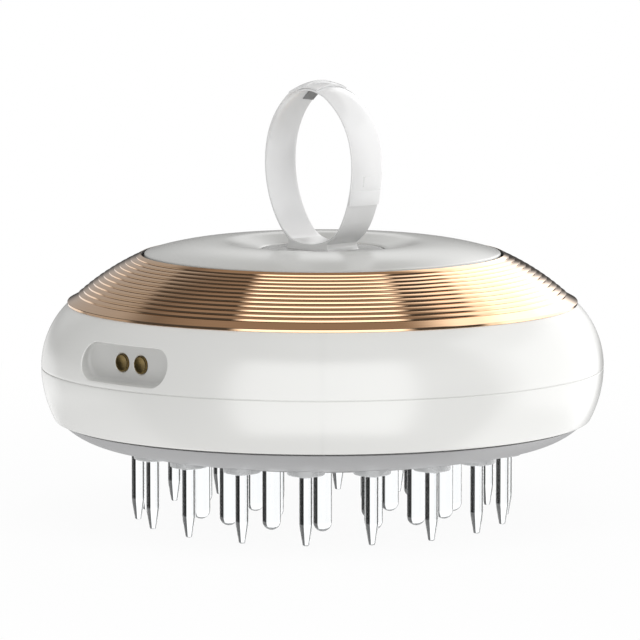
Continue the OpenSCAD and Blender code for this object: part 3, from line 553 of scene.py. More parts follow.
class Finishes:
    """The finishes of this massager."""

    SHELL = Finish("gloss_white_shell", (0.785, 0.785, 0.765), (0.78, 0.78, 0.76), 0.23, 0.21,
                   Grain.MOULDED, 60.0, 0.0006, specular=1.0)
    # Painted shade: a darker copy of the shell's white for the pocket's walls and floor, standing in for the
    # shade in the recess.
    POCKET_SHADE = Finish("pocket_painted_shade", (0.60, 0.60, 0.585), (0.58, 0.58, 0.565), 0.40, 0.34,
                    Grain.MOULDED, 90.0, 0.004)
    # Partly painted shade: the cap's satin white is held darker than the shell's white, standing in for the
    # shade that falls on its top.
    CAP_PAINTED_SHADE = Finish("satin_white_cap_painted_shade", (0.59, 0.59, 0.57), (0.58, 0.58, 0.56), 0.24, 0.22,
                 Grain.MOULDED, 90.0, 0.001, specular=1.0)
    # Painted shade: the foot is of the strap's white material but painted dark grey, standing in for the
    # shade in the well it sits in.
    FOOT_SHADE = Finish("strap_foot_painted_shade", (0.38, 0.38, 0.37), (0.36, 0.36, 0.35), 0.30, 0.24,
                  Grain.MOULDED, 90.0, 0.008, specular=0.25)
    # Painted shade: a slightly darker copy of the strap's white for the saddle, standing in for the shade on
    # its flared ends.
    SADDLE_SHADE = Finish("strap_saddle_painted_shade", (0.80, 0.80, 0.79), (0.78, 0.78, 0.77), 0.26, 0.20,
                    Grain.MOULDED, 120.0, 0.005)
    # Painted shade: a dark grey sheet under the strap's lap, standing in for the shade between the arms'
    # ends.
    TUCK_SHADE = Finish("strap_tuck_painted_shade", (0.24, 0.24, 0.24), (0.28, 0.28, 0.28), 0.55, 0.45,
                  Grain.FLECKED, 900.0, 0.02)
    STRAP = Finish("white_strap", (0.83, 0.83, 0.83), (0.81, 0.81, 0.81), 0.20, 0.14,
                   Grain.MOULDED, 120.0, 0.005, coat=0.2)
    ROSE = Finish("rose_gold_trim", (0.82, 0.555, 0.35), (0.79, 0.525, 0.33), 0.08, 0.05,
                  Grain.TURNED, 4000.0, 0.002, metallic=1.0)
    # Painted shade: a near-black finish for the trim ring's inner wall, standing in for the shade in the gap
    # between the cap and the trim.
    TRIM_WALL_SHADE = Finish("trim_wall_painted_shade", (0.030, 0.024, 0.020), (0.024, 0.019, 0.016), 0.55, 0.45,
                  Grain.FLECKED, 900.0, 0.004)
    BASE = Finish("satin_grey_base", (0.39, 0.39, 0.395), (0.375, 0.375, 0.38), 0.40, 0.35,
                  Grain.MOULDED, 90.0, 0.004)
    TOOTH = Finish("clear_acrylic_tooth", (0.97, 0.985, 0.99), (0.95, 0.97, 0.98), 0.02, 0.01,
                   Grain.MOULDED, 200.0, 0.0002, clear=1.0, ior=1.49)
    ROUND = Finish("clear_round_tooth", (0.97, 0.985, 0.99), (0.95, 0.97, 0.98), 0.02, 0.01,
                   Grain.MOULDED, 200.0, 0.0002, clear=1.0, ior=1.2)
    FLANGE = Finish("satin_tooth_flange", (0.72, 0.73, 0.735), (0.66, 0.67, 0.675), 0.30, 0.24,
                    Grain.FLECKED, 600.0, 0.02, clear=0.25, ior=1.49)
    CONTACT = Finish("gold_contact", (0.30, 0.22, 0.09), (0.24, 0.17, 0.07), 0.30, 0.22,
                     Grain.FLECKED, 900.0, 0.004, metallic=1.0)
    SEAL = Finish("silicone_seal", (0.52, 0.52, 0.51), (0.47, 0.47, 0.46), 0.60, 0.50,
                  Grain.FLECKED, 500.0, 0.010)
    BOARD = Finish("green_board", (0.012, 0.10, 0.035), (0.020, 0.13, 0.045), 0.35, 0.25,
                   Grain.FLECKED, 300.0, 0.008)
    LIGHT_BOARD = Finish("white_board", (0.78, 0.78, 0.75), (0.72, 0.72, 0.69), 0.40, 0.30,
                         Grain.FLECKED, 300.0, 0.008)
    NICKEL = Finish("nickel_magnet", (0.56, 0.55, 0.52), (0.48, 0.47, 0.45), 0.28, 0.18,
                    Grain.FLECKED, 800.0, 0.004, metallic=1.0)
    BLACK = Finish("black_moulding", (0.014, 0.014, 0.015), (0.022, 0.022, 0.024), 0.50, 0.38,
                   Grain.FLECKED, 700.0, 0.012)
    WHITE = Finish("white_moulding", (0.74, 0.74, 0.71), (0.70, 0.70, 0.67), 0.45, 0.36,
                   Grain.MOULDED, 120.0, 0.012)
    CELL = Finish("shrink_wrapped_cell", (0.26, 0.32, 0.42), (0.22, 0.28, 0.38), 0.26, 0.18,
                  Grain.MOULDED, 150.0, 0.030)
    FOAM = Finish("closed_foam", (0.033, 0.033, 0.033), (0.055, 0.055, 0.055), 0.90, 0.80,
                  Grain.FLECKED, 1200.0, 0.120)
    DRAWN = Finish("drawn_steel", (0.56, 0.56, 0.57), (0.46, 0.46, 0.47), 0.34, 0.22,
                   Grain.DRAWN, 2500.0, 0.006, metallic=1.0)
    BRASS = Finish("turned_brass", (0.55, 0.38, 0.13), (0.47, 0.32, 0.10), 0.30, 0.20,
                   Grain.DRAWN, 2000.0, 0.006, metallic=1.0)
    LENS = Finish("light_lens", (0.86, 0.76, 0.42), (0.80, 0.68, 0.34), 0.16, 0.10,
                  Grain.FLECKED, 900.0, 0.006)
    SCREW = Finish("plated_screw", (0.60, 0.60, 0.62), (0.50, 0.50, 0.52), 0.32, 0.22,
                   Grain.FLECKED, 1500.0, 0.006, metallic=1.0)
    RED = Finish("red_lead", (0.38, 0.016, 0.012), (0.32, 0.012, 0.010), 0.45, 0.35,
                 Grain.FLECKED, 900.0, 0.006)
    BLUE = Finish("blue_lead", (0.020, 0.050, 0.32), (0.016, 0.040, 0.27), 0.45, 0.35,
                  Grain.FLECKED, 900.0, 0.006)
    PALE = Finish("white_lead", (0.74, 0.74, 0.71), (0.68, 0.68, 0.65), 0.45, 0.35,
                  Grain.FLECKED, 900.0, 0.006)


def place(piece: Piece, finish: Finish, body: str, slot: str, *nodes: str) -> None:
    """Dresses a finished piece, hangs it on its body and lets it stand for its nodes.

    Args:
        piece: The piece.
        finish: Its finish.
        body: The body it moves with.
        slot: The record's material slot, not used.
        nodes: The nodes it stands for.
    """
    finish.dress(piece)
    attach(piece, body)
    if nodes:
        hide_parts(*nodes)
    LOG.info("%s: %d faces, rides %s", piece.name, len(piece.data.polygons), body)


@dataclass
class Body:
    """The round body that the shells share."""

    radius: float = 48.0
    nose: float = 14.5
    lower_nose: float = 19.2
    equator: float = 26.3801
    deck: float = 36.9801
    joint: float = 17.2801
    wall: float = 2.0
    steps: int = 288

    def reach(self, height: float) -> float:
        """Radius of the upper body at a height."""
        rise = height - self.equator
        return self.radius - self.nose + math.sqrt(self.nose ** 2 - rise ** 2)

    def face(self, across: float, height: float) -> float:
        """Distance of the upper body's surface from the axis plane, at a place across and a height."""
        return math.sqrt(self.reach(height) ** 2 - across ** 2)

    def wrapped(self, outline: Outline, middle: float, drop: float, side: int) -> Ring:
        """Lays an outline on the upper body's surface.

        Args:
            outline: Place across and height of each point.
            middle: Height of the outline's origin.
            drop: How far it is sunk into the surface.
            side: -1 for the front, 1 for the back.

        Returns:
            The ring.
        """
        return [(x, side * (self.face(x, middle + z) - drop), middle + z) for x, z in outline]


@dataclass
class UpperShell:
    """Upper shell with the charging pocket in front and the button's slot behind."""

    body: Body
    deck_foot: float = 40.974
    seat_r: float = 30.8939
    seat_z: float = 43.7801
    opening: float = 26.994
    ledge: float = 2.0
    ledge_r: float = 30.28
    ledge_turn: float = 27.3
    pocket_l: float = 20.4
    pocket_h: float = 6.3
    pocket_z: float = 30.3801
    floor_y: float = 44.5974
    lip: float = 0.22
    floor_round: float = 0.7
    contact_pitch: float = 4.45
    contact_r: float = 1.95
    back_grow: tuple[float, float] = (4.0, 3.0)
    back_skin: float = 0.9
    back_y: float = 42.6
    button_l: float = 14.6
    button_h: float = 5.0
    button_gap: float = 0.3
    outside: float = 60.0

    def outline(self) -> Outline:
        """Half section of the wall, deck and ledge."""
        body = self.body
        centre = (body.radius - body.nose, body.equator)
        top = math.degrees(math.asin((body.deck - body.equator) / body.nose))
        points = [(body.radius - 0.12, body.equator), (body.radius - 0.03, body.equator + 0.04)]
        points += arc(centre, body.nose, 0.5, top, 34)
        points += [(self.deck_foot, body.deck), (self.seat_r, self.seat_z), (self.opening, self.seat_z)]
        points += [(self.opening, self.seat_z - self.ledge), (self.ledge_r, self.seat_z - self.ledge)]
        points += arc(centre, body.nose - body.wall, self.ledge_turn, 0.0, 10)
        return points

    def slot(self, grow: float) -> Outline:
        """The pocket's outline, moved outwards."""
        return slot_ring(self.pocket_l, self.pocket_h, grow, 16)

    def pocket(self) -> Piece:
        """Cutter of the pocket, with a flared lip that follows the body and a rounded floor."""
        turns = [math.radians(18.0 * i) for i in range(6)]
        rings = [upright(self.slot(self.lip), -self.outside, self.pocket_z)]
        for turn in turns:
            outline = self.slot(self.lip * (1 - math.sin(turn)))
            rings.append(self.body.wrapped(outline, self.pocket_z, self.lip * (1 - math.cos(turn)), -1))
        for turn in turns:
            depth = self.floor_y + self.floor_round * (1 - math.sin(turn))
            rings.append(upright(self.slot(-self.floor_round * (1 - math.cos(turn))), -depth, self.pocket_z))
        return Bench.lofted("pocket_cutter", rings)

    def contact_seat(self, side: int) -> Piece:
        """Cutter of the chamfered seat round one contact."""
        outline = [(0.0, 44.2), (1.52, 44.2), (1.56, 44.38), (1.86, 44.66), (1.9, 45.0), (0.0, 45.0)]
        tool = Bench.spun("seat_cutter", outline, 48)
        Bench.lay(tool, side * self.contact_pitch / 2, self.pocket_z)
        return tool

    def button_slot(self) -> Piece:
        """Cutter of the button's slot, with a softened edge."""
        wide, soft, slim = (
            slot_ring(self.button_l, self.button_h, self.button_gap + grow, 14) for grow in (0.25, 0.1, 0.0)
        )
        rings = [upright(wide, self.outside, self.pocket_z)]
        for outline, drop in ((wide, 0.0), (soft, 0.08), (slim, 0.25), (slim, 1.6)):
            rings.append(self.body.wrapped(outline, self.pocket_z, drop, 1))
        return Bench.lofted("button_cutter", rings)

    def in_pocket(self, spot: Vector) -> bool:
        """Says whether a spot lies on the pocket's walls or floor, outside the contacts' seats."""
        up = spot.z - self.pocket_z
        if spot.y > 0.0 or abs(spot.x) > self.pocket_l / 2 + 0.1 or abs(up) > self.pocket_h / 2 + 0.1:
            return False
        if math.hypot(abs(spot.x) - self.contact_pitch / 2, up) < self.contact_r:
            return False
        return self.floor_y - 0.1 < -spot.y < self.body.face(spot.x, spot.z) - self.lip

    def build(self) -> None:
        """Spins the shell, cuts its openings and dresses it."""
        shell = Bench.spun("upper_shell_gloss", self.outline(), self.body.steps, closed=True)
        backing = slot_ring(self.pocket_l + self.back_grow[0], self.pocket_h + self.back_grow[1], 0.0, 12)
        rings = [self.body.wrapped(backing, self.pocket_z, self.back_skin, -1)]
        rings.append(upright(backing, -self.back_y, self.pocket_z))
        Bench.cut(shell, Bench.lofted("pocket_back", rings), "UNION")
        Bench.cut(shell, self.pocket())
        for side in (-1, 1):
            Bench.cut(shell, self.contact_seat(side))
        Bench.cut(shell, self.button_slot())
        Bench.settle(shell, 32.0)
        place(shell, Finishes.SHELL, "housing", "shell_white", "upper_shell")
        # Painted shade: faces on the pocket's walls and floor take the darker pocket finish, and the
        # contacts' seats keep the shell's white.
        shell.data.materials.append(Finishes.POCKET_SHADE.material())
        for face in shell.data.polygons:
            if self.in_pocket(face.center / MM):
                face.material_index = 1


@dataclass
class LowerShell:
    """Lower shell with the shadow line at its top edge."""

    body: Body
    line_h: float = 0.13
    line_depth: float = 0.16
    flange_r: float = 34.8
    flange_t: float = 2.0

    def outline(self) -> Outline:
        """Half section of the wall, its shadow line and the flange."""
        body = self.body
        centre = (body.radius - body.lower_nose, body.equator)
        end = -math.degrees(math.asin((body.equator - body.joint) / body.lower_nose))
        inner = body.lower_nose - body.wall
        low = -math.degrees(math.asin((body.equator - body.joint - self.flange_t) / inner))
        points = [(body.radius - self.line_depth, body.equator)]
        points += [(body.radius - self.line_depth, body.equator - self.line_h)]
        points += [(body.radius - 0.04, body.equator - self.line_h)]
        points += arc(centre, body.lower_nose, -0.6, end + 0.6, 30)
        foot = arc(centre, body.lower_nose, end, end, 1)[0]
        points += [(foot[0] - 0.02, foot[1] + 0.06), (foot[0] - 0.14, body.joint)]
        points += [(self.flange_r, body.joint), (self.flange_r, body.joint + self.flange_t)]
        points += arc(centre, inner, low, 0.0, 12)
        return points

    def build(self) -> None:
        """Spins the shell and dresses it."""
        shell = Bench.spun("lower_shell_gloss", self.outline(), self.body.steps, closed=True)
        Bench.settle(shell, 32.0)
        place(shell, Finishes.SHELL, "housing", "shell_white", "lower_shell")


@dataclass
class TrimRing:
    """Sloping ring with stepped ribs."""

    top_r: float = 30.8939
    top_z: float = 45.4801
    width: float = 12.6
    height: float = 8.5
    bulge: float = 0.7
    thick: float = 1.6
    first: float = 0.95
    pitch: float = 1.06
    count: int = 12
    rise: float = 0.3
    top_rise: float = 0.2
    rim: float = 0.45
    inner_foot: float = 41.122
    soft: float = 0.035
    steps: int = 448

    def point(self, down: float) -> tuple[float, float]:
        """A place on the bulged face, at a distance down the slope."""
        chord = math.hypot(self.width, self.height)
        part = down / chord
        lift = 4 * self.bulge * part * (1 - part) / chord
        return (self.top_r + part * self.width + lift * self.height,
                self.top_z - part * self.height + lift * self.width)

    def outline(self) -> Outline:
        """Half section with a softened crest on each rib."""
        foot_r = self.top_r + self.width
        foot_z = self.top_z - self.height
        points = [(self.top_r, self.top_z - self.thick), (self.top_r, self.top_z - 0.12)]
        points += [(self.top_r + 0.04, self.top_z - 0.03), (self.top_r + 0.14, self.top_z - 0.02)]
        for i in range(self.count):
            r, z = self.point(self.first + i * self.pitch)
            points += [(r - self.soft, z + self.soft * 0.35), (r - self.soft * 0.2, z - self.soft * 0.3)]
            rise = self.top_rise + (self.rise - self.top_rise) * i / (self.count - 1)
            points += [(r, z - self.soft * 1.2), (r, z - rise)]
        points += [(foot_r - 0.05, foot_z + self.rim + 0.03), (foot_r, foot_z + self.rim - 0.05)]
        points += [(foot_r, foot_z + 0.06), (foot_r - 0.06, foot_z), (self.inner_foot, foot_z)]
        return points

    def build(self) -> None:
        """Spins the ring and dresses it."""
        ring = Bench.spun("trim_ring_stepped", self.outline(), self.steps, closed=True)
        Bench.settle(ring, 25.0)
        place(ring, Finishes.ROSE, "housing", "rose_gold", "trim_ring")
        # Painted shade: the inner wall's faces take the near-black finish for the shade in the gap under the
        # cap.
        ring.data.materials.append(Finishes.TRIM_WALL_SHADE.material())
        for face in ring.data.polygons:
            if math.hypot(face.center.x, face.center.y) < (self.top_r + 0.03) * MM:
                face.material_index = 1


@dataclass
class TopCap:
    """Satin cap with a wide shoulder, a crown, a dish and a round well."""

    edge_r: float = 30.3939
    edge_z: float = 45.5801
    seat_z: float = 43.7801
    crown_r: float = 17.5604
    crown_z: float = 47.5301
    crown_bend: float = 10.1
    well_r: float = 10.65
    well_z: float = 46.1801
    floor_z: float = 45.1801
    hub_r: float = 12.65
    hub_z: float = 43.4801
    spigot_r: float = 26.894
    spigot_in: float = 25.5
    spigot_h: float = 1.0
    under_z: float = 44.7801
    bore: float = 3.05
    steps: int = 256

    def outline(self) -> Outline:
        """Half section of the shoulder, crown, dish, well and underside."""
        drop = self.crown_z - self.edge_z
        shoulder = ((self.edge_r - self.crown_r) ** 2 + drop ** 2) / (2 * drop)
        middle = (self.crown_r, self.crown_z - shoulder)
        start = math.degrees(math.atan2(self.edge_z - middle[1], self.edge_r - middle[0]))
        centre = (self.crown_r, self.crown_z - self.crown_bend)
        way = (self.well_r - centre[0], self.well_z - centre[1])
        leave = math.degrees(math.atan2(way[1], way[0]) - math.acos(self.crown_bend / math.hypot(*way)))
        points = [(self.edge_r, self.seat_z), (self.edge_r, self.edge_z - 0.2)]
        points += [(self.edge_r - 0.05, self.edge_z - 0.06)]
        points += arc(middle, shoulder, start + 0.25, 90.0, 28)
        points += arc(centre, self.crown_bend, 90.0, leave, 12)[1:]
        dish = points[-1]
        rim = (self.well_r + 0.25, self.well_z + 0.05)
        points += [between(dish, rim, i / 7) for i in range(1, 7)]
        points += [(self.well_r + 0.22, rim[1]), (self.well_r + 0.07, self.well_z - 0.04)]
        points += [(self.well_r, self.well_z - 0.22), (self.well_r, self.floor_z), (self.bore, self.floor_z)]
        points += [(self.bore, self.hub_z), (self.hub_r, self.hub_z), (self.hub_r, self.under_z)]
        low = self.seat_z - self.spigot_h
        points += [(self.spigot_in, self.under_z), (self.spigot_in, low)]
        points += [(self.spigot_r, low), (self.spigot_r, self.seat_z)]
        return points

    def build(self) -> None:
        """Spins the cap and dresses it."""
        cap = Bench.spun("top_cap_satin", self.outline(), self.steps, closed=True)
        Bench.settle(cap, 32.0)
        # Partly painted shade: the cap's white finish is held darker for the shade on its top.
        place(cap, Finishes.CAP_PAINTED_SHADE, "housing", "cap_white", "top_cap")


@dataclass(frozen=True)
class Arm:
    """One arm of the strap: its side, the heights of its two half ovals, their width and the foot's bend."""

    side: int
    top_height: float
    low_height: float
    width: float
    foot_bend: float


@dataclass
class FingerStrap:
    """Thin strap of two arms on a flared saddle, over a round foot and its stud."""

    left: Arm = Arm(-1, 28.4, 28.4, 20.8, 8.6)
    right: Arm = Arm(1, 27.58, 29.2, 21.4, 9.4)
    top_bend: float = 7.4
    band_w: float = 7.2
    band_t: float = 0.35
    bow: float = 0.75
    layer_t: float = 0.16
    end: float = 101.0
    layer: tuple[float, float] = (68.0, 89.0)
    keeper: tuple[float, float] = (-34.5, -20.5)
    keeper_t: tuple[float, float] = (0.34, 0.06)
    patch: tuple[float, float] = (-18.0, -7.0)
    patch_w: float = 3.0
    patch_t: float = 0.08
    patch_shift: float = 0.4
    scrap_t: float = 0.2
    tuck: tuple[float, float] = (58.5, 75.0)
    tuck_w: float = 2.2
    tuck_in: float = 0.30
    tuck_shift: float = 2.45
    centre_z: float = 60.7801
    pad_z: float = 47.25
    pad_bend: float = 12.0
    pad_ends: tuple[float, float] = (-3.9, 6.1)
    neck: float = 4.7
    fillet: float = 0.85
    sink: float = 0.15
    edge_from: float = 0.6
    foot_r: float = 10.35
    foot_z: float = 45.2301
    foot_top: float = 46.2301
    stud_r: float = 3.0
    stud_z: float = 43.2

    def half(self, height: float, width: float, bend: float) -> tuple[float, float, float, float]:
        """Sizes of one half of an oval.

        Args:
            height: Height of the oval.
            width: Width of the oval.
            bend: Radius of its end.

        Returns:
            Height of the end's centre, side radius, side centre and the side arc's turn in degrees.
        """
        end_c = height / 2 - bend
        half_w = width / 2
        side_r = (half_w ** 2 + end_c ** 2 - bend ** 2) / (2 * half_w - 2 * bend)
        side_c = side_r - half_w
        return end_c, side_r, side_c, math.degrees(math.atan2(end_c, side_c))

    def path(self, arm: Arm) -> list[tuple[float, float, float]]:
        """Outer line of an arm, from the foot over the top to its end.

        Args:
            arm: The arm.

        Returns:
            Place across, height and outward direction in degrees of each point.
        """
        low_c, low_r, low_side, low_turn = self.half(arm.low_height, arm.width, arm.foot_bend)
        top_c, top_r, top_side, top_turn = self.half(arm.top_height, arm.width, self.top_bend)
        runs = [((0.0, -low_c), arm.foot_bend, -90.0, -low_turn, 28),
                ((-low_side, 0.0), low_r, -low_turn, 0.0, 40),
                ((-top_side, 0.0), top_r, 0.0, top_turn, 14),
                ((0.0, top_c), self.top_bend, top_turn, 180.0 - top_turn, 64)]
        points = []
        for centre, radius, start, stop, count in runs:
            for i in range(count + 1):
                turn = start + (stop - start) * i / count
                x = centre[0] + radius * math.cos(math.radians(turn))
                z = centre[1] + radius * math.sin(math.radians(turn))
                if points and math.hypot(x - points[-1][0], z - points[-1][1]) < 1e-6:
                    continue
                if math.degrees(math.atan2(z, x)) > self.end:
                    return points
                points.append((x, z, turn))
        return points

    def section(self, width: float, thick: float) -> Outline:
        """Closed line round a band's cross-section.

        Args:
            width: Width of the band.
            thick: Thickness of the band.

        Returns:
            Place across and depth below the outer face of each point.
        """
        soft = thick * 0.36
        edge = width / 2 - soft
        count = 14
        face = [edge * (2 * i / count - 1) for i in range(1, count)]
        line = [(y, 0.0) for y in face]
        line += arc((edge, soft), soft, -90.0, 0.0, 3) + arc((edge, thick - soft), soft, 0.0, 90.0, 3)
        line += [(y, thick) for y in reversed(face)]
        line += arc((-edge, thick - soft), soft, 90.0, 180.0, 3) + arc((-edge, soft), soft, 180.0, 270.0, 3)
        return line

    def arch(self, turn: float) -> tuple[float, float]:
        """How the band bows across its width.

        Args:
            turn: Outward direction of the band, in degrees.

        Returns:
            Rise of the band's middle above its edges, and how far its edges sink.
        """
        upper = ease((turn - 15.0) / 60.0)
        lower = ease((turn + 55.0) / 55.0)
        return self.bow * (0.45 * lower + 0.55 * upper), self.bow * upper + self.layer_t * upper

    def band(self, name: str, arm: Arm, reach: tuple[float, float], size: tuple[float, float],
             lift: tuple[float, float], shift: float = 0.0) -> Piece:
        """A stretch of thin band with rounded edges.

        Args:
            name: Name of the piece.
            arm: The arm that it lies on.
            reach: Directions in which it starts and ends, in degrees.
            size: Its width and thickness.
            lift: How far its outer face lies outside the oval at its start and end.
            shift: How far its middle lies behind the oval's.

        Returns:
            The band.
        """
        rings = []
        for x, z, turn in self.path(arm):
            way = math.degrees(math.atan2(z, x))
            if not reach[0] <= way <= reach[1]:
                continue
            part = (way - reach[0]) / (reach[1] - reach[0])
            high = lift[0] + (lift[1] - lift[0]) * part
            rise, sink = self.arch(turn)
            out = (math.cos(math.radians(turn)), math.sin(math.radians(turn)))
            ring = []
            for y, depth in self.section(*size):
                away = high - depth - sink + rise * (1 - (2 * (y + shift) / self.band_w) ** 2)
                ring.append((arm.side * (x + away * out[0]), y + shift, self.centre_z + z + away * out[1]))
            rings.append(ring)
        return Bench.lofted(name, rings)

    def saddle(self) -> Piece:
        """The pad between the arms' feet, flared at both ends where it meets the round foot."""
        base = self.foot_top - self.sink
        foot = self.foot_top - 0.03
        outline = []
        for i in range(25):
            x = self.pad_ends[0] + (self.pad_ends[1] - self.pad_ends[0]) * i / 24
            outline.append((x, self.pad_z + self.pad_bend - math.sqrt(self.pad_bend ** 2 - x ** 2)))
        for arm, end in ((self.right, self.pad_ends[1]), (self.left, self.pad_ends[0])):
            centre = self.centre_z - arm.low_height / 2 + arm.foot_bend
            middle = arm.foot_bend - self.band_t / 2
            line = []
            for i in range(1, 9):
                x = abs(end) + (self.neck - abs(end)) * i / 8
                line.append((arm.side * x, centre - math.sqrt(middle ** 2 - x ** 2)))
            for x, z in arc((self.neck + self.fillet, foot + self.fillet), self.fillet, 180.0, 270.0, 8):
                line.append((arm.side * x, z))
            line.append((arm.side * (self.neck + self.fillet), base - 0.05))
            outline += line if arm.side > 0 else line[::-1]
        rings = []
        half_w = self.band_w / 2 + 0.05
        half_l = self.neck + self.fillet
        for y, inset in ((-half_w, 0.14), (-half_w + 0.05, 0.04), (-half_w + 0.16, 0.0),
                         (half_w - 0.16, 0.0), (half_w - 0.05, 0.04), (half_w, 0.14)):
            ring = []
            for x, z in outline:
                drop = inset if z > base + self.edge_from else 0.0
                ring.append((x * (1 - inset / half_l), y, z - drop))
            rings.append(ring)
        return Bench.lofted("strap_saddle", rings)

    def foot(self) -> Piece:
        """The round foot with a softened edge, and the stud below it."""
        top = self.foot_top
        outline = [(0.0, self.stud_z), (self.stud_r, self.stud_z), (self.stud_r, self.foot_z)]
        outline += [(self.foot_r - 0.05, self.foot_z), (self.foot_r, self.foot_z + 0.05)]
        for inset, drop in ((0.0, 0.3), (0.08, 0.12), (0.28, 0.02), (0.5, 0.0)):
            outline.append((self.foot_r - inset, top - drop))
        outline.append((0.0, top))
        return Bench.spun("strap_foot", outline, 160)

    def build(self) -> None:
        """Makes the bands and joins them, adds the saddle, the foot and the tuck, and dresses them all."""
        whole = (-90.0, self.end)
        band = (self.band_w, self.band_t)
        doubled = (self.band_w, self.layer_t + 0.1)
        clasp = (self.band_w + 0.06, self.band_t)
        flat = (0.0, 0.0)
        bands = [
            self.band("finger_strap_band", self.left, whole, band, flat),
            self.band("strap_right", self.right, whole, band, flat),
            self.band("strap_layer", self.left, self.layer, doubled, (self.layer_t, self.layer_t)),
            self.band("strap_keeper", self.right, self.keeper, clasp, self.keeper_t),
            self.band("strap_patch", self.right, self.patch, (self.patch_w, self.scrap_t),
                      (self.patch_t, self.patch_t), self.patch_shift),
        ]
        strap = Bench.joined(bands)
        Bench.settle(strap, 38.0)
        place(strap, Finishes.STRAP, "finger_strap", "strap_white", "finger_ring")
        # Painted shade: the tuck is a dark grey sheet inside the lap that stands in for the shade under the
        # arms.
        tuck = self.band("strap_tuck", self.left, self.tuck, (self.tuck_w, self.scrap_t),
                         (-self.tuck_in, -self.tuck_in), self.tuck_shift)
        # Painted shade: the foot takes a dark grey copy of the strap's white for the shade in the well.
        # Painted shade: the saddle takes a slightly darker copy of the strap's white for the shade on its
        # flare.
        extras = ((self.saddle(), Finishes.SADDLE_SHADE), (self.foot(), Finishes.FOOT_SHADE), (tuck, Finishes.TUCK_SHADE))
        for piece, finish in extras:
            Bench.settle(piece, 38.0)
            place(piece, finish, "finger_strap", "strap_white")


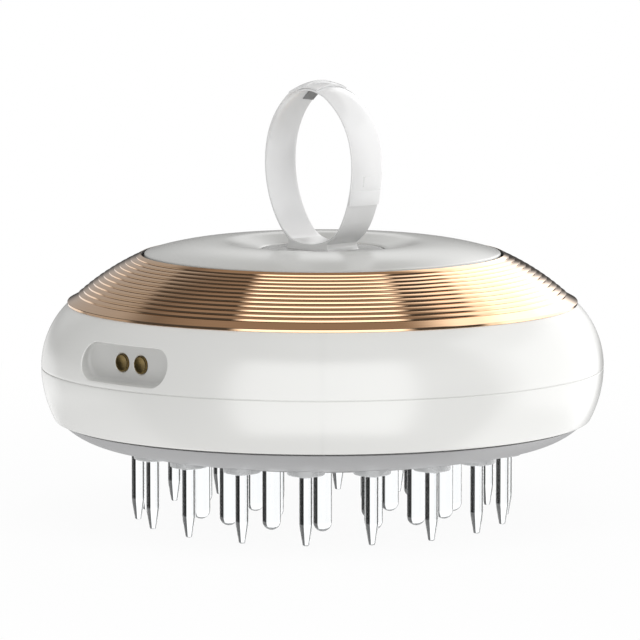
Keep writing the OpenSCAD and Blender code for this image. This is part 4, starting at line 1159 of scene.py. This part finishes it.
@dataclass
class ToothBase:
    """Domed base plate with its tapered and round-ended teeth."""

    joint: float = 17.2801
    rim_z: float = 16.8801
    edge_r: float = 44.6065
    spigot_r: float = 43.4065
    in_r: float = 38.8065
    dome_r: float = 185.0
    dome_c: float = 194.5801
    dome_t: float = 2.2
    bend_r: float = 12.0
    outer_count: int = 18
    outer_r: float = 31.6065
    middle_count: int = 16
    middle_r: float = 22.3065
    inner_count: int = 8
    inner_r: float = 11.5065
    flange_r: float = 3.15
    flange_z: float = 11.7
    flange_top: float = 12.9
    tooth_r: float = 1.15
    taper: float = 3.5
    tip_r: float = 0.575
    tip_round: float = 0.3
    root_r: float = 1.2
    rise: float = 0.4
    round_r: float = 1.55
    round_tip: float = 1.0

    def under(self, radius: float) -> float:
        """Height of the dome's outside at a radius."""
        return self.dome_c - math.sqrt(self.dome_r ** 2 - radius ** 2)

    def inside(self, radius: float) -> float:
        """Height of the dome's inside at a radius."""
        return self.dome_c - math.sqrt((self.dome_r - self.dome_t) ** 2 - radius ** 2)

    def outline(self) -> Outline:
        """Half section of the dome, its bend, rim and spigot."""
        line = (self.edge_r, self.rim_z - self.dome_c)
        far = math.hypot(*line)
        way = (line[0] / far, line[1] / far)
        gap = self.dome_r - self.bend_r
        along = (gap ** 2 - self.bend_r ** 2 + far ** 2) / (2 * far)
        aside = math.sqrt(gap ** 2 - along ** 2)
        bend = (along * way[0] + aside * way[1], self.dome_c + along * way[1] - aside * way[0])
        split = math.degrees(math.atan2(bend[1] - self.dome_c, bend[0]))
        edge = math.degrees(math.atan2(self.rim_z - bend[1], self.edge_r - bend[0]))
        points = arc((0.0, self.dome_c), self.dome_r, -90.0, split, 30)
        points[0] = (0.0, points[0][1])
        points += arc(bend, self.bend_r, split, edge - 0.8, 20)[1:]
        points += [(self.edge_r - 0.03, self.rim_z - 0.02), (self.edge_r - 0.14, self.rim_z)]
        points += [(self.spigot_r, self.rim_z), (self.spigot_r, self.joint), (self.in_r, self.joint)]
        points += [(self.in_r, self.inside(self.in_r))]
        for i in range(1, 12):
            radius = self.in_r * (1 - i / 12)
            points.append((radius, self.inside(radius)))
        points.append((0.0, self.inside(0.0)))
        return points

    def seat_cutter(self) -> Piece:
        """Cutters of all flange seats, joined."""
        reach = self.flange_r + 0.05
        top = self.flange_top + 0.06
        first = Bench.spun("flange_cutter", [(0.0, 6.0), (reach, 6.0), (reach, top), (0.0, top)], 56)
        first.location = (self.outer_r * MM, 0.0, 0.0)
        Bench.settle(first, 30.0)
        return Bench.joined(Bench.ringed(first, self.outer_count, "flange_cutter_{}"))

    def tapered(self) -> Outline:
        """Half section of a tapered tooth with its flange and root."""
        foot = (self.tip_r, self.tip_round)
        shoulder = (self.tooth_r - 0.02, self.taper - 0.12)
        points = [(0.0, 0.0)]
        points += arc((self.tip_r - self.tip_round, self.tip_round), self.tip_round, -90.0, 0.0, 6)
        points += [between(foot, shoulder, part) for part in (0.06, 0.94, 1.0)]
        neck = self.flange_z
        points += [(self.tooth_r, self.taper + 0.1), (self.tooth_r, self.taper + 0.3)]
        points += [(self.tooth_r, neck - 0.4), (self.tooth_r, neck - 0.2), (self.tooth_r + 0.04, neck - 0.06)]
        points.append((self.tooth_r + 0.2, neck))
        for inset, up in ((0.55, 0.1), (0.2, 0.2), (0.05, 0.32), (0.0, 0.48)):
            points.append((self.flange_r - inset, neck + up))
        points += [(self.flange_r, self.flange_top), (self.root_r, self.flange_top)]
        points += [(self.root_r, self.inside(self.outer_r) + self.rise)]
        points += [(0.0, self.inside(self.outer_r) + self.rise)]
        return points

    def rounded(self, radius: float) -> Outline:
        """Half section of a round-ended tooth with its root, at a radius from the axis."""
        seat = self.under(radius) + self.rise
        points = arc((0.0, self.round_tip + self.round_r), self.round_r, -90.0, 0.0, 12)
        points[0] = (0.0, self.round_tip)
        points += [(self.round_r, self.round_tip + self.round_r + 0.2)]
        points += [(self.round_r, seat - 0.05), (self.round_r - 0.05, seat), (self.root_r, seat)]
        points += [(self.root_r, self.inside(radius) + self.rise), (0.0, self.inside(radius) + self.rise)]
        return points

    def field(self, name: str, count: int, radius: float) -> Piece:
        """A ring of round-ended teeth in one piece.

        Args:
            name: Name of the piece.
            count: Number of teeth.
            radius: Distance of the teeth from the axis.

        Returns:
            The ring of teeth.
        """
        first = Bench.spun(name, self.rounded(radius), 44)
        first.location = (0.0, -radius * MM, 0.0)
        Bench.settle(first, 30.0)
        return Bench.joined(Bench.ringed(first, count, name + "_{}"))

    def frost(self, tooth: Piece) -> None:
        """Gives a tooth's flange its satin finish."""
        tooth.data.materials.append(Finishes.FLANGE.material())
        for face in tooth.data.polygons:
            if face.center.z > (self.flange_z - 0.01) * MM:
                face.material_index = 1

    def build(self) -> None:
        """Makes the dome and all its teeth and dresses them."""
        dome = Bench.spun("base_dome", self.outline(), 256)
        Bench.cut(dome, self.seat_cutter())
        Bench.settle(dome, 32.0)
        place(dome, Finishes.BASE, "housing", "base_grey", "base_plate")
        first = Bench.spun("tapered_tooth_01", self.tapered(), 48)
        first.location = (0.0, -self.outer_r * MM, 0.0)
        Bench.settle(first, 28.0)
        for i, tooth in enumerate(Bench.ringed(first, self.outer_count, "tapered_tooth_{:02d}")):
            place(tooth, Finishes.TOOTH, "housing", "clear_tooth", f"outer_tooth_{i + 1:02d}")
            self.frost(tooth)
        rings = (("middle", self.middle_count, self.middle_r), ("inner", self.inner_count, self.inner_r))
        for ring, count, radius in rings:
            teeth = self.field(f"round_teeth_{ring}", count, radius)
            place(teeth, Finishes.ROUND, "housing", "clear_tooth", f"{ring}_teeth")


@dataclass
class ChargeContacts:
    """Two round contacts with a raised rim in the pocket's floor."""

    pitch: float = 4.45
    centre_z: float = 30.3801
    floor: float = 44.5974
    proud: float = 0.15
    radius: float = 1.5
    head: float = 0.8
    pin_r: float = 0.8
    pin_y: float = 41.0972

    def build(self) -> None:
        """Spins one contact for each side, lays it in the floor and dresses it."""
        top = self.floor + self.proud
        outline = [(0.0, top - 0.07), (self.radius - 0.42, top - 0.06), (self.radius - 0.28, top)]
        outline += [(self.radius - 0.1, top), (self.radius - 0.02, top - 0.04), (self.radius, top - 0.12)]
        outline += [(self.radius, self.floor - self.head), (self.pin_r, self.floor - self.head)]
        outline += [(self.pin_r, self.pin_y), (0.0, self.pin_y)]
        for side, word in ((-1, "left"), (1, "right")):
            contact = Bench.spun(f"contact_{word}", outline, 48)
            Bench.lay(contact, side * self.pitch / 2, self.centre_z)
            place(contact, Finishes.CONTACT, "housing", "contact_gold", f"charge_contact_{word}")


@dataclass
class PowerButton:
    """Slot-shaped button that follows the body's curve."""

    body: Body
    length: float = 14.6
    height: float = 5.0
    centre_z: float = 30.3801
    proud: float = 0.1
    root_y: float = 44.6

    def build(self) -> None:
        """Lofts the button's side, soft edge and crowned face, and dresses it."""
        rings = [upright(slot_ring(self.length, self.height, 0.0, 14), self.root_y, self.centre_z)]
        for grow, drop in ((0.0, 0.42), (-0.03, 0.22), (-0.12, 0.07), (-0.3, 0.0), (-0.7, 0.0), (-1.1, 0.02),
                           (-1.5, 0.05), (-1.9, 0.08), (-2.3, 0.1), (-2.46, 0.1)):
            outline = slot_ring(self.length, self.height, grow, 14)
            rings.append(self.body.wrapped(outline, self.centre_z, drop - self.proud, 1))
        button = Bench.lofted("power_button_cap", rings)
        Bench.settle(button, 34.0)
        place(button, Finishes.SHELL, "power_button", "shell_white", "button_cap")


class Inside:
    """Finishes of the sealed pieces, which keep the shape of their solids."""

    WEAR: dict[Finish, tuple[str, ...]] = {
        Finishes.SEAL: ("parting_seal", "base_seal", "button_seal"),
        Finishes.BOARD: ("charge_board", "main_board"),
        Finishes.LIGHT_BOARD: ("led_board",),
        Finishes.NICKEL: ("charge_magnets",),
        Finishes.BLACK: ("switch_body", "board_components"),
        Finishes.WHITE: ("switch_plunger", "motor_clamp"),
        Finishes.CELL: ("battery",),
        Finishes.FOAM: ("battery_pad",),
        Finishes.DRAWN: ("motor_can", "motor_shaft"),
        Finishes.BRASS: ("motor_weight",),
        Finishes.LENS: ("leds",),
        Finishes.SCREW: ("ring_washer", "ring_screw", "housing_screws", "base_screws", "board_screws",
                         "clamp_screws"),
        Finishes.RED: ("battery_leads", "charge_leads"),
        Finishes.BLUE: ("motor_leads",),
        Finishes.PALE: ("led_leads",),
    }

    def dress(self) -> None:
        """Gives every sealed piece its finish."""
        for finish, nodes in self.WEAR.items():
            for node in nodes:
                finish.dress(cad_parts[node])
                LOG.info("%s: dressed in %s", node, finish.name)


class Side(Enum):
    """Which way a studio panel stands from the object."""

    FRONT = 1
    BACK = -1


@dataclass(frozen=True)
class Panel:
    """A soft-edged window of light in the sky, in degrees.

    Across counts to the right from the front or the back, as the photograph sees it.
    """

    side: Side
    across: float
    half_width: float
    height: float
    half_height: float
    soft: float
    strength: float


class Studio:
    """Camera, lamps, floor and sky.

    Mirrors see the panels and a warm glow from above. Clear pieces see the clear panels, with dark gaps
    between them. Matte surfaces see an even light.
    """

    ALL_ROUND: float = 400.0
    PANELS: tuple[Panel, ...] = (
        Panel(Side.FRONT, 0.0, 38.5, 0.0, 42.0, 5.0, 2.15),
        Panel(Side.BACK, 58.0, 47.0, 26.0, 27.0, 5.0, 1.35),
        Panel(Side.BACK, 63.0, 39.0, -27.0, 26.0, 4.0, 1.3),
        Panel(Side.BACK, 60.0, 32.0, 6.0, 26.0, 5.0, 0.85),
        Panel(Side.BACK, 11.0, 15.0, 18.0, 8.0, 5.0, 1.1),
        Panel(Side.BACK, 6.0, 9.0, 25.0, 5.0, 3.0, 0.35),
        Panel(Side.BACK, 20.0, 10.0, 33.0, 9.0, 4.0, 0.8),
        Panel(Side.BACK, -26.0, 16.0, -7.0, 7.0, 4.0, 1.0),
        Panel(Side.BACK, -64.0, 20.0, -7.0, 10.0, 5.0, 0.40),
        Panel(Side.BACK, -18.0, 15.0, 21.0, 17.0, 6.0, 0.38),
        Panel(Side.BACK, -35.0, 60.0, -38.0, 27.0, 5.0, 0.6),
    )
    WARM: tuple[Panel, ...] = (
        Panel(Side.BACK, 0.0, 70.0, 64.0, 22.0, 12.0, 0.26),
    )
    CLEAR: tuple[Panel, ...] = (
        Panel(Side.BACK, -10.5, 22.5, 5.5, 29.5, 2.0, 1.0),
        Panel(Side.BACK, 84.0, 24.0, 5.5, 29.5, 3.0, 1.0),
        Panel(Side.BACK, 136.5, 20.5, 5.5, 29.5, 2.0, 1.0),
        Panel(Side.FRONT, -3.5, 19.5, 5.5, 29.5, 2.0, 1.0),
        Panel(Side.BACK, -129.5, 19.5, 5.5, 29.5, 2.0, 1.0),
        Panel(Side.BACK, -78.0, 24.0, 5.5, 29.5, 3.0, 1.0),
        Panel(Side.BACK, 0.0, ALL_ROUND, -63.5, 39.5, 2.0, 1.0),
        Panel(Side.BACK, 0.0, ALL_ROUND, -17.5, 7.0, 1.0, 0.3),
        Panel(Side.BACK, 0.0, ALL_ROUND, 9.75, 14.25, 1.0, 0.13),
    )
    AMBIENT: float = 0.62
    GLOSS: float = 0.08
    GLASS: float = 0.02
    WHITE: float = 0.94
    BOUNCE: float = 0.72
    GLOW: float = 1.3
    EYE: tuple[float, float, float] = (0.6273, -0.6279, 0.13897)
    TILT: float = 83.251
    TURN: float = 45.0
    LENS: float = 294.46

    def camera(self) -> None:
        """Places the camera at the photograph's view."""
        Bench.clear()
        bpy.ops.object.camera_add(location=self.EYE)
        camera = bpy.context.active_object
        camera.rotation_euler = (math.radians(self.TILT), 0.0, math.radians(self.TURN))
        camera.data.lens = self.LENS
        camera.data.sensor_width = 36.0
        camera.data.clip_end = 50.0
        bpy.context.scene.camera = camera

    def lamp(self, name: str, across: float, height: float, far: float, size: float, power: float) -> None:
        """Hangs a soft lamp that points at the object.

        Args:
            name: Name of the lamp.
            across: Degrees to the right of the camera.
            height: Degrees above the horizon.
            far: Distance in metres.
            size: Side of the lamp in metres.
            power: Power in watts.
        """
        turn = math.radians(across - self.TURN)
        rise = math.radians(height)
        way = Vector((math.cos(turn) * math.cos(rise), math.sin(turn) * math.cos(rise), math.sin(rise)))
        target = Vector((0.0, 0.0, 0.035))
        Bench.clear()
        bpy.ops.object.light_add(type="AREA", location=target + way * far)
        lamp = bpy.context.active_object
        lamp.name = name
        lamp.data.size = size
        lamp.data.energy = power
        lamp.rotation_euler = way.to_track_quat("Z", "Y").to_euler()
        lamp.visible_glossy = False
        lamp.visible_transmission = False

    def floor(self) -> None:
        """Lays a pale floor that takes the object's shadow and lets mirrors and glass see the sky."""
        Bench.clear()
        bpy.ops.mesh.primitive_plane_add(size=9.0, location=(0.0, 0.0, -0.0002))
        floor = bpy.context.active_object
        floor.name = "studio_floor"
        made = bpy.data.materials.new("pale_floor")
        made.use_nodes = True
        nodes = Nodes(made.node_tree)
        shader = nodes.tree.nodes["Principled BSDF"]
        matte = {"Base Color": (0.92, 0.92, 0.92, 1.0), "Roughness": 0.9, "Specular IOR Level": 0.0}
        nodes.feed(shader, matte)
        ray = nodes.add("ShaderNodeLightPath").outputs
        spot = nodes.add("ShaderNodeTexCoord").outputs["Object"]
        far = nodes.add("ShaderNodeVectorMath", {0: spot}, operation="LENGTH").outputs["Value"]
        fade = {"Value": far, "From Min": 0.04, "From Max": 0.22, "To Min": self.WHITE, "To Max": 1.0}
        share = nodes.add("ShaderNodeMapRange", fade, interpolation_type="SMOOTHSTEP").outputs["Result"]
        seen = nodes.maths("MULTIPLY", ray["Is Camera Ray"], share)
        part = nodes.maths("MULTIPLY_ADD", ray["Is Diffuse Ray"], self.BOUNCE, seen)
        glow = nodes.maths("MULTIPLY_ADD", ray["Is Diffuse Ray"], self.GLOW - 1.0, 1.0)
        white = nodes.add("ShaderNodeEmission", {"Strength": glow}).outputs["Emission"]
        pale = nodes.mixed(part, shader.outputs["BSDF"], white)
        either = nodes.maths("MAXIMUM", ray["Is Glossy Ray"], ray["Is Transmission Ray"])
        through = nodes.add("ShaderNodeBsdfTransparent").outputs["BSDF"]
        nodes.feed(nodes.tree.nodes["Material Output"], {"Surface": nodes.mixed(either, pale, through)})
        floor.data.materials.append(made)

    @staticmethod
    def window(nodes: Nodes, angle: Socket, middle: float, half: float,
               soft: float) -> Socket:
        """A soft step that is 1 within a half width of a middle angle.

        Args:
            nodes: The sky's nodes.
            angle: The angle, in degrees.
            middle: Its middle.
            half: Half the width.
            soft: Width of the soft edge.

        Returns:
            The mask.
        """
        off = nodes.maths("ABSOLUTE", nodes.maths("SUBTRACT", angle, middle))
        ends = {"Value": off, "From Min": half - soft, "From Max": half + soft, "To Min": 1.0, "To Max": 0.0}
        return nodes.add("ShaderNodeMapRange", ends, interpolation_type="SMOOTHSTEP").outputs["Result"]

    def light(self, nodes: Nodes, panels: tuple[Panel, ...], base: float,
              angles: dict[Side, Socket], rise: Socket) -> Socket:
        """Adds up the panels over an even base.

        Args:
            nodes: The sky's nodes.
            panels: The panels.
            base: Strength where there is no panel.
            angles: Degrees to the right of the front and of the back.
            rise: Degrees above the horizon.

        Returns:
            The strength of the light.
        """
        total = nodes.maths("ADD", base, 0.0)
        for panel in panels:
            wide = self.window(nodes, angles[panel.side], panel.across, panel.half_width, panel.soft)
            high = self.window(nodes, rise, panel.height, panel.half_height, panel.soft)
            mask = nodes.maths("MULTIPLY", wide, high)
            total = nodes.maths("MULTIPLY_ADD", mask, panel.strength, total)
        return total

    def sky(self) -> None:
        """Builds the sky: white behind, even light for matte surfaces, panels for mirrors and glass."""
        world = bpy.data.worlds.new("studio_sky")
        world.use_nodes = True
        bpy.context.scene.world = world
        nodes = Nodes(world.node_tree)
        where = nodes.add("ShaderNodeTexCoord").outputs["Generated"]
        split = nodes.add("ShaderNodeSeparateXYZ", {"Vector": where}).outputs
        half = math.sqrt(0.5)
        east = nodes.maths("MULTIPLY", split["X"], half)
        north = nodes.maths("MULTIPLY", split["Y"], half)
        near = nodes.maths("SUBTRACT", east, north)
        right = nodes.maths("ADD", east, north)
        away = nodes.maths("MULTIPLY", near, -1.0)
        degree = 180.0 / math.pi
        angles = {}
        for side, ahead in ((Side.FRONT, near), (Side.BACK, away)):
            angles[side] = nodes.maths("MULTIPLY", nodes.maths("ARCTAN2", right, ahead), degree)
        rise = nodes.maths("MULTIPLY", nodes.maths("ARCSINE", split["Z"]), degree)
        mirrored = self.light(nodes, self.PANELS, self.GLOSS, angles, rise)
        through = self.light(nodes, self.CLEAR, self.GLASS, angles, rise)
        ray = nodes.add("ShaderNodeLightPath").outputs
        clear = ray["Is Transmission Ray"]
        solid = nodes.maths("SUBTRACT", 1.0, clear)
        shiny = nodes.maths("MULTIPLY", ray["Is Glossy Ray"], solid)
        matte = nodes.maths("SUBTRACT", solid, shiny)
        light = nodes.maths("MULTIPLY", mirrored, shiny)
        light = nodes.maths("MULTIPLY_ADD", through, clear, light)
        light = nodes.maths("MULTIPLY_ADD", matte, self.AMBIENT, light)
        behind = ray["Is Camera Ray"]
        light = nodes.maths("MULTIPLY", light, nodes.maths("SUBTRACT", 1.0, behind))
        backdrop = nodes.tree.nodes["Background"]
        nodes.feed(backdrop, {"Color": (1.0, 1.0, 1.0, 1.0), "Strength": nodes.maths("ADD", light, behind)})
        glow = nodes.maths("MULTIPLY", self.light(nodes, self.WARM, 0.0, angles, rise), shiny)
        warm = nodes.add("ShaderNodeBackground", {"Color": (1.0, 0.80, 0.64, 1.0), "Strength": glow})
        lights = {0: backdrop.outputs["Background"], 1: warm.outputs["Background"]}
        both = nodes.add("ShaderNodeAddShader", lights)
        nodes.feed(nodes.tree.nodes["World Output"], {"Surface": both.outputs["Shader"]})

    def build(self) -> None:
        """Sets the whole studio up."""
        bpy.context.scene.view_settings.view_transform = "Standard"
        self.camera()
        self.floor()
        self.sky()
        self.lamp("key_right", 55.0, 22.0, 1.3, 0.9, 3.2)
        self.lamp("soft_above", 15.0, 72.0, 1.2, 0.8, 3.1)


def main() -> None:
    """Builds the massager and its studio in order."""
    logging.basicConfig(level=logging.INFO, format="%(message)s")
    body = Body()
    UpperShell(body).build()
    LowerShell(body).build()
    TrimRing().build()
    TopCap().build()
    FingerStrap().build()
    ToothBase().build()
    ChargeContacts().build()
    PowerButton(body).build()
    Inside().dress()
    Studio().build()


if __name__ == "__main__":
    main()
